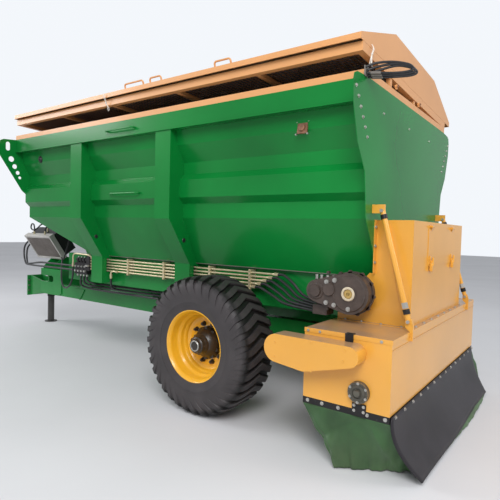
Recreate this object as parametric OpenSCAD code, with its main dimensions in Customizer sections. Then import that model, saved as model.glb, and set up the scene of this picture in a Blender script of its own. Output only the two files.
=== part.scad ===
// Towed manure spreader with a tall hopper, a floor chain, a rear spreading box and a swing-up cover.
// Forward is +X, the machine's left side is +Y, and the floor is at Z = 0. Sizes are in millimetres.

/* [Hopper] */
// Rear plane of the hopper, measured back from the middle of the machine
hopper_rear = 2733; // [2600:1:2800]
// Length of the hopper between the outer faces of its end walls
hopper_len = 4633; // [4300:1:4800]
// Thickness of the hopper's sheet
sheet_t = 5; // [4:1:8]
// Height of the conveyor floor above the ground
floor_z = 1240; // [1235:1:1300]
// Half width of the side walls where they meet the floor
floor_hw = 657; // [640:1:680]
// Half width of the side walls just under the top rail
lip_hw = 970; // [964:1:985]
// Half width of the side walls at the upper fold
shoulder_hw = 948; // [925:1:960]
// Half width of the flat bands above and below the pressed belt
waist_hw = 859; // [840:1:880]
// Half width of the pressed belt
belt_hw = 916; // [890:1:930]
// Height of the upper fold
shoulder_z = 2350; // [2300:1:2420]
// Height where the upper slope meets the upper band
waist_z = 2197; // [2140:1:2230]
// Height of the top edge of the pressed belt
belt_top_z = 2030; // [2000:1:2060]
// Height of the bottom edge of the pressed belt
belt_low_z = 1866; // [1840:1:1900]
// Height over which the belt slopes in to the flat bands
belt_slope = 56; // [30:1:80]
// Height where the lower band turns in towards the floor
knee_z = 1677; // [1620:1:1740]
// Length over which the front wall slopes back from the knee to the floor
front_run = 960; // [800:1:1000]
// Height of the front wall's lower edge above the floor, for the chain to pass
chain_pass = 50; // [45:1:70]

/* [Top rail and rim] */
// Height of the underside of the top rail
rail_z = 2480; // [2450:1:2500]
// Height of the top rail's box section
rail_h = 160; // [120:1:170]
// Width of the top rail's box section
rail_w = 78; // [60:1:90]
// Wall of the box sections
tube_t = 6; // [4:1:8]
// Half width over the top rail
rail_hw = 1043; // [1035:1:1060]
// Height of the rim on the top rail
rim_h = 50; // [40:1:60]
// Width of the rim's inner flange
rim_flange = 50; // [30:1:60]

/* [End walls] */
// Half width of the end wing near its top
wing_hw = 1257; // [1220:1:1280]
// Height of the end wing's widest point
wing_z = 2554; // [2520:1:2600]
// Height where the wing's outer edge starts to slope in
wing_drop_z = 2428; // [2400:1:2460]
// Height where the front wing runs out on the wall
wing_end_z = 2010; // [1990:1:2040]
// Half width of the lower part of the rear wall's flange
rear_flange_hw = 985; // [960:1:1000]
// Half width of the opening in the rear wall
outlet_hw = 620; // [560:1:640]
// Height of the top of the opening in the rear wall
outlet_top_z = 1620; // [1500:1:1640]

/* [Side posts] */
// Place of the rear posts, measured forward from the hopper's rear plane
post_rear_x = 1976; // [1940:1:2020]
// Distance between the rear and front posts
post_pitch = 1369; // [1300:1:1450]
// Width of a post along the machine
post_w = 200; // [160:1:220]
// Thickness of a post's sheet
post_t = 6; // [4:1:8]
// Height where a post turns in
post_bend_z = 1663; // [1620:1:1700]
// Half width over the lower ends of the posts
post_foot_hw = 755; // [740:1:780]
// Height where a post turns down again
post_knee_z = 1232; // [1200:1:1260]
// Height of a post's lower end
post_foot_z = 926; // [915:1:960]
// Radius of the hole in each side of a post
post_hole_r = 17; // [10:1:25]

/* [Frames] */
// Half width over the upper frame's side rails
sill_hw = 606; // [590:1:620]
// Height of the underside of the upper frame
sill_z = 900; // [880:1:910]
// Width of the upper frame's flanges
sill_flange = 70; // [50:1:90]
// Thickness of the upper frame's plate
sill_t = 8; // [6:1:10]
// Half width over the lower frame's beams
beam_hw = 400; // [380:1:420]
// Width of a lower frame beam
beam_w = 100; // [80:1:120]
// Height of the underside of the lower frame beams
beam_z = 600; // [595:1:610]
// Height of a lower frame beam
beam_h = 160; // [140:1:180]
// Front end of the lower frame beams
beam_front_x = 2390; // [2340:1:2430]
// Side of the frames' square cross tubes
cross_tube = 80; // [60:1:100]

/* [Hitch] */
// Front face of the hitch flange, which is the foremost point
hitch_x = 3252; // [3220:1:3280]
// Half width over the hitch tongue's side plates
tongue_hw = 110; // [90:1:120]
// Thickness of the hitch plates
hitch_t = 20; // [15:1:25]
// Height of the tongue's underside at the flange
tongue_z = 456; // [440:1:470]
// Height of the tongue's side plates at the flange
tongue_h = 320; // [290:1:330]
// Half width of the hitch flange
flange_hw = 150; // [145:1:165]
// Sideways distance between the hitch flange's bolt rows
hitch_bolt_y = 260; // [250:1:270]
// Height between neighbouring hitch bolts
hitch_bolt_z = 80; // [70:1:90]
// Radius of the hitch bolt holes
hitch_bolt_r = 10.5; // [9:0.5:12]

/* [Wheels] */
// Place of the axle, measured forward from the hopper's rear plane
axle_x = 1377; // [1340:1:1420]
// Radius of the tyre over its lugs
tyre_r = 588; // [580:1:600]
// Width of the tyre
tyre_w = 440; // [400:1:450]
// Distance from the middle of the machine to the middle of a tyre
track_half = 1028; // [1020:1:1040]
// Height of the tread lugs
lug_h = 26; // [20:1:30]
// Number of V-shaped lugs round the tread
lug_count = 36; // [24:1:40]
// Width of a lug along the tread
lug_w = 60; // [50:1:66]
// Radius of the wheel rim's flange
rim_r = 306; // [300:1:315]
// Distance between the rim's flanges
rim_w = 400; // [380:1:410]
// Depth of the wheel disc below the outer flange
dish = 215; // [190:1:225]
// Radius of the wheel nuts' circle
nut_circle_r = 167.5; // [160:0.5:175]
// Number of wheel nuts
nut_count = 10; // [8:1:10]
// Radius of the hub drum
hub_r = 138; // [130:1:142]
// Radius of the stub axles
stub_r = 45; // [40:1:50]
// Radial running clearance of shafts in their bores
run_gap = 0.05; // [0.02:0.01:0.1]

/* [Cover] */
// Distance of the cover's front end behind the hopper's front plane
cover_front_gap = 128; // [100:1:200]
// Distance of the cover's rear end ahead of the hopper's rear plane
cover_inset = 12; // [11:1:30]
// Half width of the sieve frame
sieve_hw = 1100; // [1090:1:1110]
// Height of the sieve frame's tubes
sieve_h = 65; // [55:1:80]
// Width of the sieve frame's tubes
sieve_w = 50; // [40:1:60]
// Gap between the closed sieve frame and the rim
sieve_gap = 2; // [1:1:5]
// Angle by which the rim's rests hold the sieve frame up
cover_tilt = 2.7; // [2:0.1:3]
// Distance between neighbouring sieve rods along the machine
rod_pitch_x = 110; // [90:1:150]
// Distance between neighbouring sieve rods across the machine
rod_pitch_y = 62; // [50:1:80]
// Thickness of a sieve rod
rod_t = 8; // [6:1:10]
// Half width of the hood over its side flanges
hood_hw = 1209; // [1190:1:1215]
// Sideways shift of the hood towards its hinge
hood_shift = 75; // [70:1:80]
// Height of the hood's side flange
hood_flange = 46; // [40:1:60]
// Height of the hood's roof above its flange
hood_rise = 242; // [200:1:260]
// Half width of the hood's flat top
hood_top_hw = 556; // [500:1:600]
// Thickness of the hood's sheet
hood_t = 4; // [3:1:5]
// Sideways place of the sieve frame's hinge line
hinge_y = 1135; // [1130:1:1140]
// Sideways place of the hood's hinge line
hood_hinge_y = 1235; // [1225:1:1240]
// Radius of the hinge pins
pin_r = 8; // [6:1:10]
// Radius of the hinge eyes
eye_r = 17; // [15:1:20]
// Number of hinges along the cover
hinge_count = 4; // [3:1:5]

/* [Rear housing] */
// Length of the housing behind the hopper's rear plane
housing_len = 272; // [250:1:280]
// Half width of the housing
housing_hw = 760; // [750:1:770]
// Height of the housing's top
housing_top_z = 1672; // [1660:1:1690]
// Height of the step in the housing's side plates
housing_step_z = 1278; // [1262:1:1300]
// Forward reach of the housing's foot from the hopper's rear plane
housing_foot = 286; // [260:1:295]
// Half width of the access door
door_hw = 390; // [340:1:420]
// Height of the access door's lower edge
door_z = 1335; // [1300:1:1380]
// Height of the access door
door_h = 290; // [250:1:300]
// Thickness of the access door
door_t = 4; // [3:1:6]

/* [Spreading box] */
// Rear plane of the box, measured back from the hopper's rear plane
box_rear = 315; // [300:1:330]
// Length of the box along the machine
box_len = 616; // [600:1:630]
// Half width of the box
box_hw = 1249; // [1240:1:1260]
// Height of the box's underside
box_z = 427; // [415:1:440]
// Height of the box
box_h = 481; // [470:1:484]
// Thickness of the box's plate
box_t = 6; // [4:1:8]
// Depth of a chain case from the box's side
case_w = 136; // [120:1:140]
// Radius of the spreading roller's shaft
shaft_r = 25; // [20:1:30]
// Radius over the spreading roller's teeth
roller_r = 105; // [90:1:110]
// Radius over the auger's flights
auger_r = 125; // [110:1:130]
// Lead of the auger's flights
auger_lead = 260; // [220:1:320]

/* [Skirt] */
// Gap between the skirt's hem and the ground
hem_gap = 10; // [5:1:30]
// Thickness of the canvas skirt
canvas_t = 6; // [4:1:8]
// Thickness of the rubber flap
flap_t = 12; // [8:1:15]
// Half width of the rubber flap
flap_hw = 1110; // [1080:1:1140]
// Rearward reach of the flap's hem from the box
flap_reach = 196; // [150:1:200]
// Height of the clamp bar
bar_h = 45; // [35:1:60]
// Thickness of the clamp bar
bar_t = 8; // [6:1:10]

/* [Conveyor] */
// Height of the conveyor shafts
conveyor_z = 1130; // [1125:1:1135]
// Forward place of the rear shaft from the hopper's rear plane
rear_shaft_x = 118; // [110:1:130]
// Radius of the conveyor shafts
conveyor_shaft_r = 35; // [30:1:40]
// Half width over the slats
slat_hw = 520; // [480:1:525]
// Number of slats round the chain
slat_count = 28; // [20:1:34]
// Sideways place of the two chains
chain_y = 400; // [300:1:450]

/* [Drive] */
// Radius of the gearbox's large end
gear_r = 150; // [140:1:155]
// Radius of the gearbox's small end
gear_small_r = 82; // [75:1:90]
// Distance between the gearbox's two shafts
gear_reach = 265; // [250:1:280]
// Gearbox: boss between the housing and the case
gear_boss = 60; // [50:1:80]
// Gap between the drive motor's inner end and the sill
motor_gap = 64; // [20:1:80]
// Thickness of the gearbox
gear_w = 130; // [110:1:150]

/* [Oil cooler] */
// Length of the cooler along the machine
cooler_len = 655; // [600:1:700]
// Height of the cooler's core
cooler_h = 385; // [350:1:400]
// Depth of the cooler with its fan cowl
cooler_d = 262; // [230:1:280]
// Rear end of the cooler
cooler_x = 2040; // [2020:1:2080]
// Lean of the cooler from upright
cooler_lean = 34; // [25:1:40]

/* [Jack] */
// Jack: place behind the hitch's face
jack_back = 102; // [97:1:122]
// Sideways place of the parking jack, to the right of the middle
jack_y = 205; // [195:1:220]
// Outer radius of the jack's inner leg
jack_r = 50; // [44:1:56]
// Height of the jack's outer tube above the ground
jack_tube_z = 420; // [400:1:440]

/* [Hidden] */
$fn = 48;
rear_x = -hopper_rear;
front_x = rear_x + hopper_len;
box_x0 = rear_x - box_rear;
box_x1 = box_x0 + box_len;
rail_top_z = rail_z + rail_h;
rim_top_z = rail_top_z + rim_h;
wheel_x = rear_x + axle_x;
seat_gap = 0.3;
post_places = [rear_x + post_rear_x, rear_x + post_rear_x + post_pitch];

// Extrudes a (Y, Z) outline along X from x0 to x1
module along_x(x0, x1) {
  translate([x0, 0, 0]) rotate([90, 0, 90]) linear_extrude(x1 - x0) children();
}
// Extrudes an (X, Z) outline along Y from y0 to y1
module along_y(y0, y1) {
  translate([0, y1, 0]) rotate([90, 0, 0]) linear_extrude(y1 - y0) children();
}
module both_sides() {
  children();
  mirror([0, 1, 0]) children();
}
module box_at(low, high) {
  translate(low) cube(high - low);
}
// Round bar along Y
module bar_y(x, z, y0, y1, r) {
  translate([x, y0, z]) rotate([-90, 0, 0]) cylinder(r = r, h = y1 - y0);
}
// Round bar along X
module bar_x(y, z, x0, x1, r) {
  translate([x0, y, z]) rotate([0, 90, 0]) cylinder(r = r, h = x1 - x0);
}
// Straight round bar between two points
module bar_between(a, b, r) {
  d = b - a;
  translate(a) rotate([0, acos(d[2] / norm(d)), atan2(d[1], d[0])]) cylinder(r = r, h = norm(d));
}
// Round pipe through points, with its bends as arcs of the given radius
module bent_pipe(points, r, bend) {
  last = len(points) - 1;
  ways = [for (i = [0 : last - 1]) (points[i + 1] - points[i]) / norm(points[i + 1] - points[i])];
  turns = [for (i = [1 : last - 1]) acos(ways[i - 1] * ways[i])];
  cuts = concat([0], [for (t = turns) bend * tan(t / 2)], [0]);
  for (i = [0 : last - 1])
    bar_between(points[i] + cuts[i] * ways[i], points[i + 1] - cuts[i + 1] * ways[i], r);
  for (i = [1 : last - 1]) {
    u = ways[i - 1];
    inward = (ways[i] - u) / norm(ways[i] - u);
    centre = points[i] + inward * bend / cos(turns[i - 1] / 2);
    out = (points[i] - cuts[i] * u - centre) / bend;
    up = cross(out, u);
    multmatrix([[out[0], u[0], up[0], centre[0]], [out[1], u[1], up[1], centre[1]],
                [out[2], u[2], up[2], centre[2]]])
      rotate_extrude(angle = turns[i - 1]) translate([bend, 0]) circle(r = r);
  }
}
function reversed(list) = [for (i = [len(list) - 1 : -1 : 0]) list[i]];
function mirrored(list) = [for (p = reversed(list)) [-p[0], p[1]]];
function shifted(list, dy) = [for (p = list) [p[0] + dy, p[1]]];

// Outer face of the left side wall, from the top rail down to the floor: half width, height
function wall_line() = [
  [lip_hw, rail_z],
  [shoulder_hw, shoulder_z],
  [waist_hw, waist_z],
  [waist_hw, belt_top_z + belt_slope],
  [belt_hw, belt_top_z],
  [belt_hw, belt_low_z],
  [waist_hw, belt_low_z - belt_slope],
  [waist_hw, knee_z],
  [floor_hw, floor_z]
];
slope_x = front_x - front_run;
// Space in front of the sloping front wall, moved forward along X: place, height
function front_cut(dx) = [
  [front_x + dx, knee_z],
  [front_x + dx + 2 * sheet_t, knee_z],
  [front_x + dx + 2 * sheet_t, floor_z - 1],
  [slope_x + dx, floor_z - 1],
  [slope_x + dx, floor_z + chain_pass]
];
// The space inside the walls, as a half-width outline: half width, height
function inside_line() = shifted(wall_line(), -sheet_t - seat_gap);
module side_wall() {
  color("forestgreen") difference() {
    along_x(rear_x + sheet_t, front_x - sheet_t)
      polygon(concat(wall_line(), reversed(shifted(wall_line(), -sheet_t))));
    along_y(0, rail_hw) polygon(front_cut(0));
  }
}
module side_wall_left() {
  side_wall();
}
module side_wall_right() {
  mirror([0, 1, 0]) side_wall();
}

// Outline of the wing's free edge on an end wall: half width, height
wing_corner = 60;
function wing_line() = [
  [rail_hw - 20, rail_top_z],
  [wing_hw - wing_corner, rail_top_z - 12],
  [wing_hw - 0.3 * wing_corner, (rail_top_z + wing_z) / 2 + 12],
  [wing_hw, wing_z],
  [wing_hw - 11, wing_drop_z]
];
front_line = concat(wing_line(), [
  [belt_hw + 50, wing_end_z],
  [belt_hw, belt_top_z - 60],
  [belt_hw, belt_low_z],
  [waist_hw, belt_low_z - belt_slope],
  [waist_hw, knee_z]
]);
rear_line = concat(wing_line(), [
  [wing_hw - 103, waist_z - 22],
  [rear_flange_hw + 31, belt_top_z - 33],
  [rear_flange_hw + 8, belt_low_z - 18],
  [rear_flange_hw - 9, knee_z + 4],
  [floor_hw + 68, floor_z + 73],
  [floor_hw + 10, floor_z]
]);
// Lightening holes in the front wing: half width, height, radius
wing_holes = [[1103, 2393, 34], [1060, 2305, 29], [1021, 2230, 24], [994, 2170, 18]];
oval_hw = 1146;
oval_z = 2547;
oval_r = 26;
oval_half = 28;
module front_wall() {
  color("forestgreen") difference() {
    along_x(front_x - sheet_t, front_x) polygon(concat(front_line, mirrored(front_line)));
    both_sides() {
      for (h = wing_holes) bar_x(h[0], h[1], front_x - 2 * sheet_t, front_x + sheet_t, h[2]);
      for (s = [-1, 1])
        bar_x(oval_hw, oval_z + s * oval_half, front_x - 2 * sheet_t, front_x + sheet_t, oval_r);
      box_at([front_x - 2 * sheet_t, oval_hw - oval_r, oval_z - oval_half],
             [front_x + sheet_t, oval_hw + oval_r, oval_z + oval_half]);
    }
  }
  // Sloping lower part, between the side walls
  slant = sheet_t / cos(atan(front_run / (knee_z - floor_z - chain_pass)));
  color("forestgreen") intersection() {
    along_y(-rail_hw, rail_hw) polygon([
      [front_x - sheet_t, knee_z], [front_x, knee_z], [slope_x, floor_z + chain_pass],
      [slope_x - slant, floor_z + chain_pass], [front_x - slant, knee_z]]);
    along_x(slope_x - 2 * slant, front_x) polygon(concat(inside_line(), mirrored(inside_line())));
  }
}
wing_bolt_r = 7;
module rear_wall() {
  color("forestgreen") difference() {
    along_x(rear_x, rear_x + sheet_t) polygon(concat(rear_line, mirrored(rear_line)));
    box_at([rear_x - sheet_t, -outlet_hw, floor_z - 1], [rear_x + 2 * sheet_t, outlet_hw, outlet_top_z]);
    both_sides() for (i = [0 : 4])
      bar_x(wing_hw - 45 - 42 * i, wing_z - 60 * i - 20, rear_x - sheet_t, rear_x + 2 * sheet_t, wing_bolt_r);
  }
}

// Closed ring of square tube between two rectangles
module ring_x(x0, x1, hw, w, z0, z1) {
  difference() {
    box_at([x0, -hw, z0], [x1, hw, z1]);
    box_at([x0 + w, -hw + w, z0 - 1], [x1 - w, hw - w, z1 + 1]);
  }
}
module top_rail() {
  color("forestgreen") difference() {
    ring_x(rear_x + sheet_t, front_x - sheet_t, rail_hw, rail_w, rail_z, rail_top_z);
    difference() {
      box_at([rear_x + sheet_t + tube_t, -rail_hw + tube_t, rail_z + tube_t],
             [front_x - sheet_t - tube_t, rail_hw - tube_t, rail_top_z - tube_t]);
      box_at([rear_x + sheet_t + rail_w - tube_t, -rail_hw + rail_w - tube_t, rail_z],
             [front_x - sheet_t - rail_w + tube_t, rail_hw - rail_w + tube_t, rail_top_z]);
    }
  }
}

sieve_z = rim_top_z + sieve_gap;
sieve_top_z = sieve_z + sieve_h;
hinge_z = rim_top_z + eye_r + 2;
hood_hinge_z = sieve_top_z + 2;
cover_x0 = rear_x + cover_inset;
cover_x1 = front_x - cover_front_gap;
cover_len = cover_x1 - cover_x0;
hinge_places = [for (i = [0 : hinge_count - 1]) cover_x0 + 300 + i * (cover_len - 600) / (hinge_count - 1)];
hinge_w = 60;
// Turns a part that is drawn flat into the place where the rim's rests hold the cover
module on_cover() {
  translate([0, -hinge_y, hinge_z]) rotate([cover_tilt, 0, 0]) translate([0, hinge_y, -hinge_z]) children();
}
// Rests on the end rims: sideways places
rest_places = [520, -70];
rest_w = 40;
rest_t = 34;
deck_len = 215;
module rim() {
  color("sandybrown") {
    ring_x(rear_x, front_x, rail_hw, tube_t, rail_top_z, rim_top_z);
    ring_x(rear_x, front_x, rail_hw, rim_flange, rim_top_z - tube_t, rim_top_z);
    // Deck under the cover's front end
    box_at([front_x - deck_len, -rail_hw + 1, rim_top_z - tube_t], [front_x - 1, rail_hw - 1, rim_top_z]);
    for (x = [cover_x0 + 6, cover_x1 - rest_t - 6]) for (y = rest_places)
      box_at([x, y - rest_w / 2, rim_top_z - 1],
             [x + rest_t, y + rest_w / 2, sieve_z + (y - rest_w / 2 + hinge_y) * tan(cover_tilt) - 1]);
    for (x = hinge_places) {
      for (s = [-1, 1]) translate([x + s * (hinge_w / 2 + 6), 0, 0]) along_x(-5, 5) union() {
        translate([-hinge_y, hinge_z]) circle(r = eye_r);
        polygon([[-hinge_y - eye_r + 2, hinge_z], [-hinge_y + eye_r - 2, hinge_z],
                 [-hinge_y + eye_r + 8, hinge_z - 25],
                 [-rail_hw + 1, hinge_z - 25], [-rail_hw + 1, rail_top_z + 4], [-hinge_y - 8, hinge_z - 40]]);
      }
      bar_x(-hinge_y, hinge_z, x - hinge_w / 2 - 20, x + hinge_w / 2 + 20, pin_r);
    }
  }
}

// Outline of a side post: half width, height
function post_outer() = [
  [rail_hw, rail_z],
  [rail_hw, post_bend_z],
  [post_foot_hw, post_knee_z],
  [post_foot_hw, post_foot_z]
];
post_hole_z = (post_bend_z + post_knee_z) / 2 + 15;
module post(x) {
  plate = concat(post_outer(), [[sill_hw, post_foot_z], [sill_hw, sill_top_z], [floor_hw, sill_top_z]],
                 reversed(wall_line()));
  for (s = [-1, 1]) translate([x + s * (post_w - post_t) / 2, 0, 0]) difference() {
    along_x(-post_t / 2, post_t / 2) polygon(plate);
    bar_x((rail_hw + post_foot_hw) / 2 - 60, post_hole_z, -post_t, post_t, post_hole_r);
    // Window for the oil pipes
    box_at([-post_t, pipe_y - 2 * pipe_r, pipe_z[4] - 2 * pipe_r],
           [post_t, pipe_y + 2 * pipe_r, pipe_z[0] + 2 * pipe_r]);
  }
  along_x(x - post_w / 2, x + post_w / 2)
    polygon(concat(post_outer(), reversed(shifted(post_outer(), -post_t))));
}
module posts() {
  color("forestgreen") both_sides() for (x = post_places) post(x);
}

frame_rear_x = box_x1 + seat_gap;
frame_front_x = beam_front_x - 510;
sill_front_x = frame_front_x - 480;
sill_top_z = floor_z - sheet_t - 1;
front_bearing_w = 26;
front_bearing_r = 62;
saddle_places = [wheel_x, post_places[0] + 110, post_places[1] - 440, sill_front_x - 60];
cross_places = concat([rear_x + 620], saddle_places);
module upper_frame() {
  color("forestgreen") {
    both_sides() difference() {
      union() {
        box_at([frame_rear_x, sill_hw - sill_t, sill_z], [sill_front_x, sill_hw, sill_top_z]);
        for (z = [sill_z, sill_top_z - sill_t])
          box_at([frame_rear_x, sill_hw - sill_flange, z], [sill_front_x, sill_hw, z + sill_t]);
        // Bearing of the conveyor's front shaft, on the sill's inner face
        bar_y(conveyor_front_x, conveyor_z, sill_hw - sill_t - front_bearing_w, sill_hw - sill_t + 1,
              front_bearing_r);
      }
      bar_y(conveyor_front_x, conveyor_z, sill_hw - sill_flange - 1, sill_hw + 1,
            conveyor_shaft_r + seat_gap);
    }
    for (x = cross_places)
      difference() {
        box_at([x - cross_tube / 2, -sill_hw + sill_t, sill_z],
               [x + cross_tube / 2, sill_hw - sill_t, sill_z + cross_tube]);
        box_at([x - cross_tube / 2 + tube_t, -sill_hw, sill_z + tube_t],
               [x + cross_tube / 2 - tube_t, sill_hw, sill_z + cross_tube - tube_t]);
      }
  }
}

beam_rear_x = rear_x + 440;
beam_top_z = beam_z + beam_h;
slot_z = 820;
slot_r = 45;
slot_len = 270;
apex_x = 1447;
// Outline of a cooler stand: place across, height. It carries the cooler's lower side.
function cooler_stand() = [
  [-beam_hw, sill_z + 60], [beam_hw, sill_z + 60], [beam_hw, sill_z + 90],
  [cooler_low_y, cooler_low_z], [cooler_back_y, cooler_back_z], [-60, 1080], [-beam_hw, sill_z + 90]
];
module lower_frame() {
  color("forestgreen") {
    both_sides() {
      difference() {
        box_at([beam_rear_x, beam_hw - beam_w, beam_z], [beam_front_x, beam_hw, beam_top_z]);
        box_at([beam_rear_x - 1, beam_hw - beam_w + tube_t, beam_z + tube_t],
               [beam_front_x + 1, beam_hw - tube_t, beam_top_z - tube_t]);
      }
      // Saddles between the two frames
      for (x = saddle_places) along_y(beam_hw - 20, beam_hw)
        polygon([[x - 150, beam_top_z], [x + 110, beam_top_z], [x + cross_tube / 2, sill_z],
                 [x - cross_tube / 2, sill_z]]);
      along_y(beam_hw, beam_hw + 12)
        polygon([[apex_x - 103, beam_top_z - 20], [apex_x, beam_z - 9], [apex_x + 111, beam_top_z - 20]]);
      // Head plates that tie the beams to the hitch, each with a slot open to the front
      difference() {
        along_y(beam_hw, beam_hw + 12)
          polygon([[frame_front_x, beam_z + 35], [frame_front_x + 60, beam_z], [beam_front_x - 60, beam_z],
                   [beam_front_x, beam_z + 35],
                   [beam_front_x, sill_z + 60], [frame_front_x, sill_z + 60]]);
        bar_y(beam_front_x - slot_len, slot_z, beam_hw - 1, beam_hw + 13, slot_r);
        box_at([beam_front_x - slot_len, beam_hw - 1, slot_z - slot_r],
               [beam_front_x + 1, beam_hw + 13, slot_z + slot_r]);
      }
      box_at([frame_front_x, beam_hw - beam_w, sill_z + 48], [beam_front_x, beam_hw, sill_z + 60]);
    }
    for (x = [beam_rear_x + 60, wheel_x + 500, post_places[1], frame_front_x])
      difference() {
        box_at([x, -beam_hw + beam_w - 1, beam_z + 30],
               [x + cross_tube, beam_hw - beam_w + 1, beam_z + 30 + cross_tube]);
        box_at([x + tube_t, -beam_hw + beam_w - 2, beam_z + 30 + tube_t],
               [x + cross_tube - tube_t, beam_hw - beam_w + 2, beam_z + 30 + cross_tube - tube_t]);
      }
    // Stands of the oil cooler
    for (x = [cooler_x + 60, cooler_x + 300]) along_x(x, x + 10) polygon(cooler_stand());
  }
}

flange_t = 20;
module hitch() {
  color("forestgreen") difference() {
    union() {
      both_sides() along_y(tongue_hw - hitch_t, tongue_hw)
        polygon([[beam_front_x - hitch_t, beam_z - 30], [hitch_x - 370, beam_z - 80],
                 [hitch_x - flange_t, tongue_z],
                 [hitch_x - flange_t, tongue_z + tongue_h], [hitch_x - 370, beam_top_z - 50],
                 [beam_front_x - hitch_t, beam_top_z]]);
      box_at([beam_front_x - hitch_t, -beam_hw + beam_w, beam_z],
             [beam_front_x, beam_hw - beam_w, sill_z + 30]);
      box_at([hitch_x - flange_t, -flange_hw, tongue_z], [hitch_x, flange_hw, tongue_z + tongue_h]);
      box_at([beam_front_x - 1, -tongue_hw + 1, beam_z + 20],
             [hitch_x - flange_t + 1, tongue_hw - 1, beam_z + 32]);
    }
    for (y = [-1, 1]) for (i = [-1 : 1])
      bar_x(y * hitch_bolt_y / 2, tongue_z + tongue_h / 2 + i * hitch_bolt_z, hitch_x - 2 * flange_t,
            hitch_x + 1, hitch_bolt_r);
  }
}

wheel_z = tyre_r;
axle_half = 60;
hub_depth = 120;
module axle() {
  color("darkgreen") {
    box_at([wheel_x - axle_half, -track_half + tyre_w / 2 + 40, beam_z - 2 * axle_half],
           [wheel_x + axle_half, track_half - tyre_w / 2 - 40, beam_z]);
    both_sides() {
      box_at([wheel_x - 80, track_half - tyre_w / 2 + 10, beam_z - 130],
             [wheel_x + 80, track_half - tyre_w / 2 + 40, beam_z + 90]);
      box_at([wheel_x - axle_half, track_half - tyre_w / 2 - 40, beam_z - 2 * axle_half],
             [wheel_x + axle_half, track_half - tyre_w / 2 + 10, beam_z]);
      bar_y(wheel_x, wheel_z, track_half - tyre_w / 2 + 40, track_half + rim_w / 2 - dish - 20, stub_r);
    }
  }
}

conveyor_rear_x = rear_x + rear_shaft_x;
conveyor_front_x = slope_x + 80;
sprocket_r = floor_z - conveyor_z;
module floor_plate() {
  color("gray")
    box_at([conveyor_rear_x + sprocket_r / 2, -floor_hw, sill_top_z], [slope_x, floor_hw, floor_z]);
}
chain_lift = seat_gap;
chain_t = 16;
// A closed belt-shaped loop round the two shafts, from radius r0 to r1
module loop(r0, r1, y0, y1) {
  along_y(y0, y1) difference() {
    union() {
      for (x = [conveyor_rear_x, conveyor_front_x]) translate([x, conveyor_z]) circle(r = r1);
      translate([conveyor_rear_x, conveyor_z - r1]) square([conveyor_front_x - conveyor_rear_x, 2 * r1]);
    }
    for (x = [conveyor_rear_x, conveyor_front_x]) translate([x, conveyor_z]) circle(r = r0);
    translate([conveyor_rear_x, conveyor_z - r0]) square([conveyor_front_x - conveyor_rear_x, 2 * r0]);
  }
}
slat_pitch = (conveyor_front_x - conveyor_rear_x) / (slat_count / 2);
module floor_chain() {
  r0 = sprocket_r + chain_lift;
  color("dimgray") {
    both_sides() loop(r0, r0 + chain_t, chain_y - 20, chain_y + 20);
    for (i = [0 : slat_count / 2 - 1]) for (s = [1, -1])
      box_at([conveyor_rear_x + (i + 0.5) * slat_pitch - 20, -slat_hw, conveyor_z + (s > 0 ? r0 : -r0 - 30)],
             [conveyor_rear_x + (i + 0.5) * slat_pitch + 20, slat_hw, conveyor_z + (s > 0 ? r0 + 30 : -r0)]);
  }
}
module conveyor_shafts() {
  color("silver") {
    for (x = [conveyor_rear_x, conveyor_front_x]) {
      // The front shaft ends within the sills' webs
      bar_y(x, conveyor_z, x == conveyor_rear_x ? -housing_hw - 40 : sill_t / 2 - sill_hw,
            x == conveyor_rear_x ? gear_face_y + 8 : sill_hw - sill_t / 2, conveyor_shaft_r);
      for (y = [-chain_y, chain_y]) bar_y(x, conveyor_z, y - 18, y + 18, sprocket_r);
    }
  }
}

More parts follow.
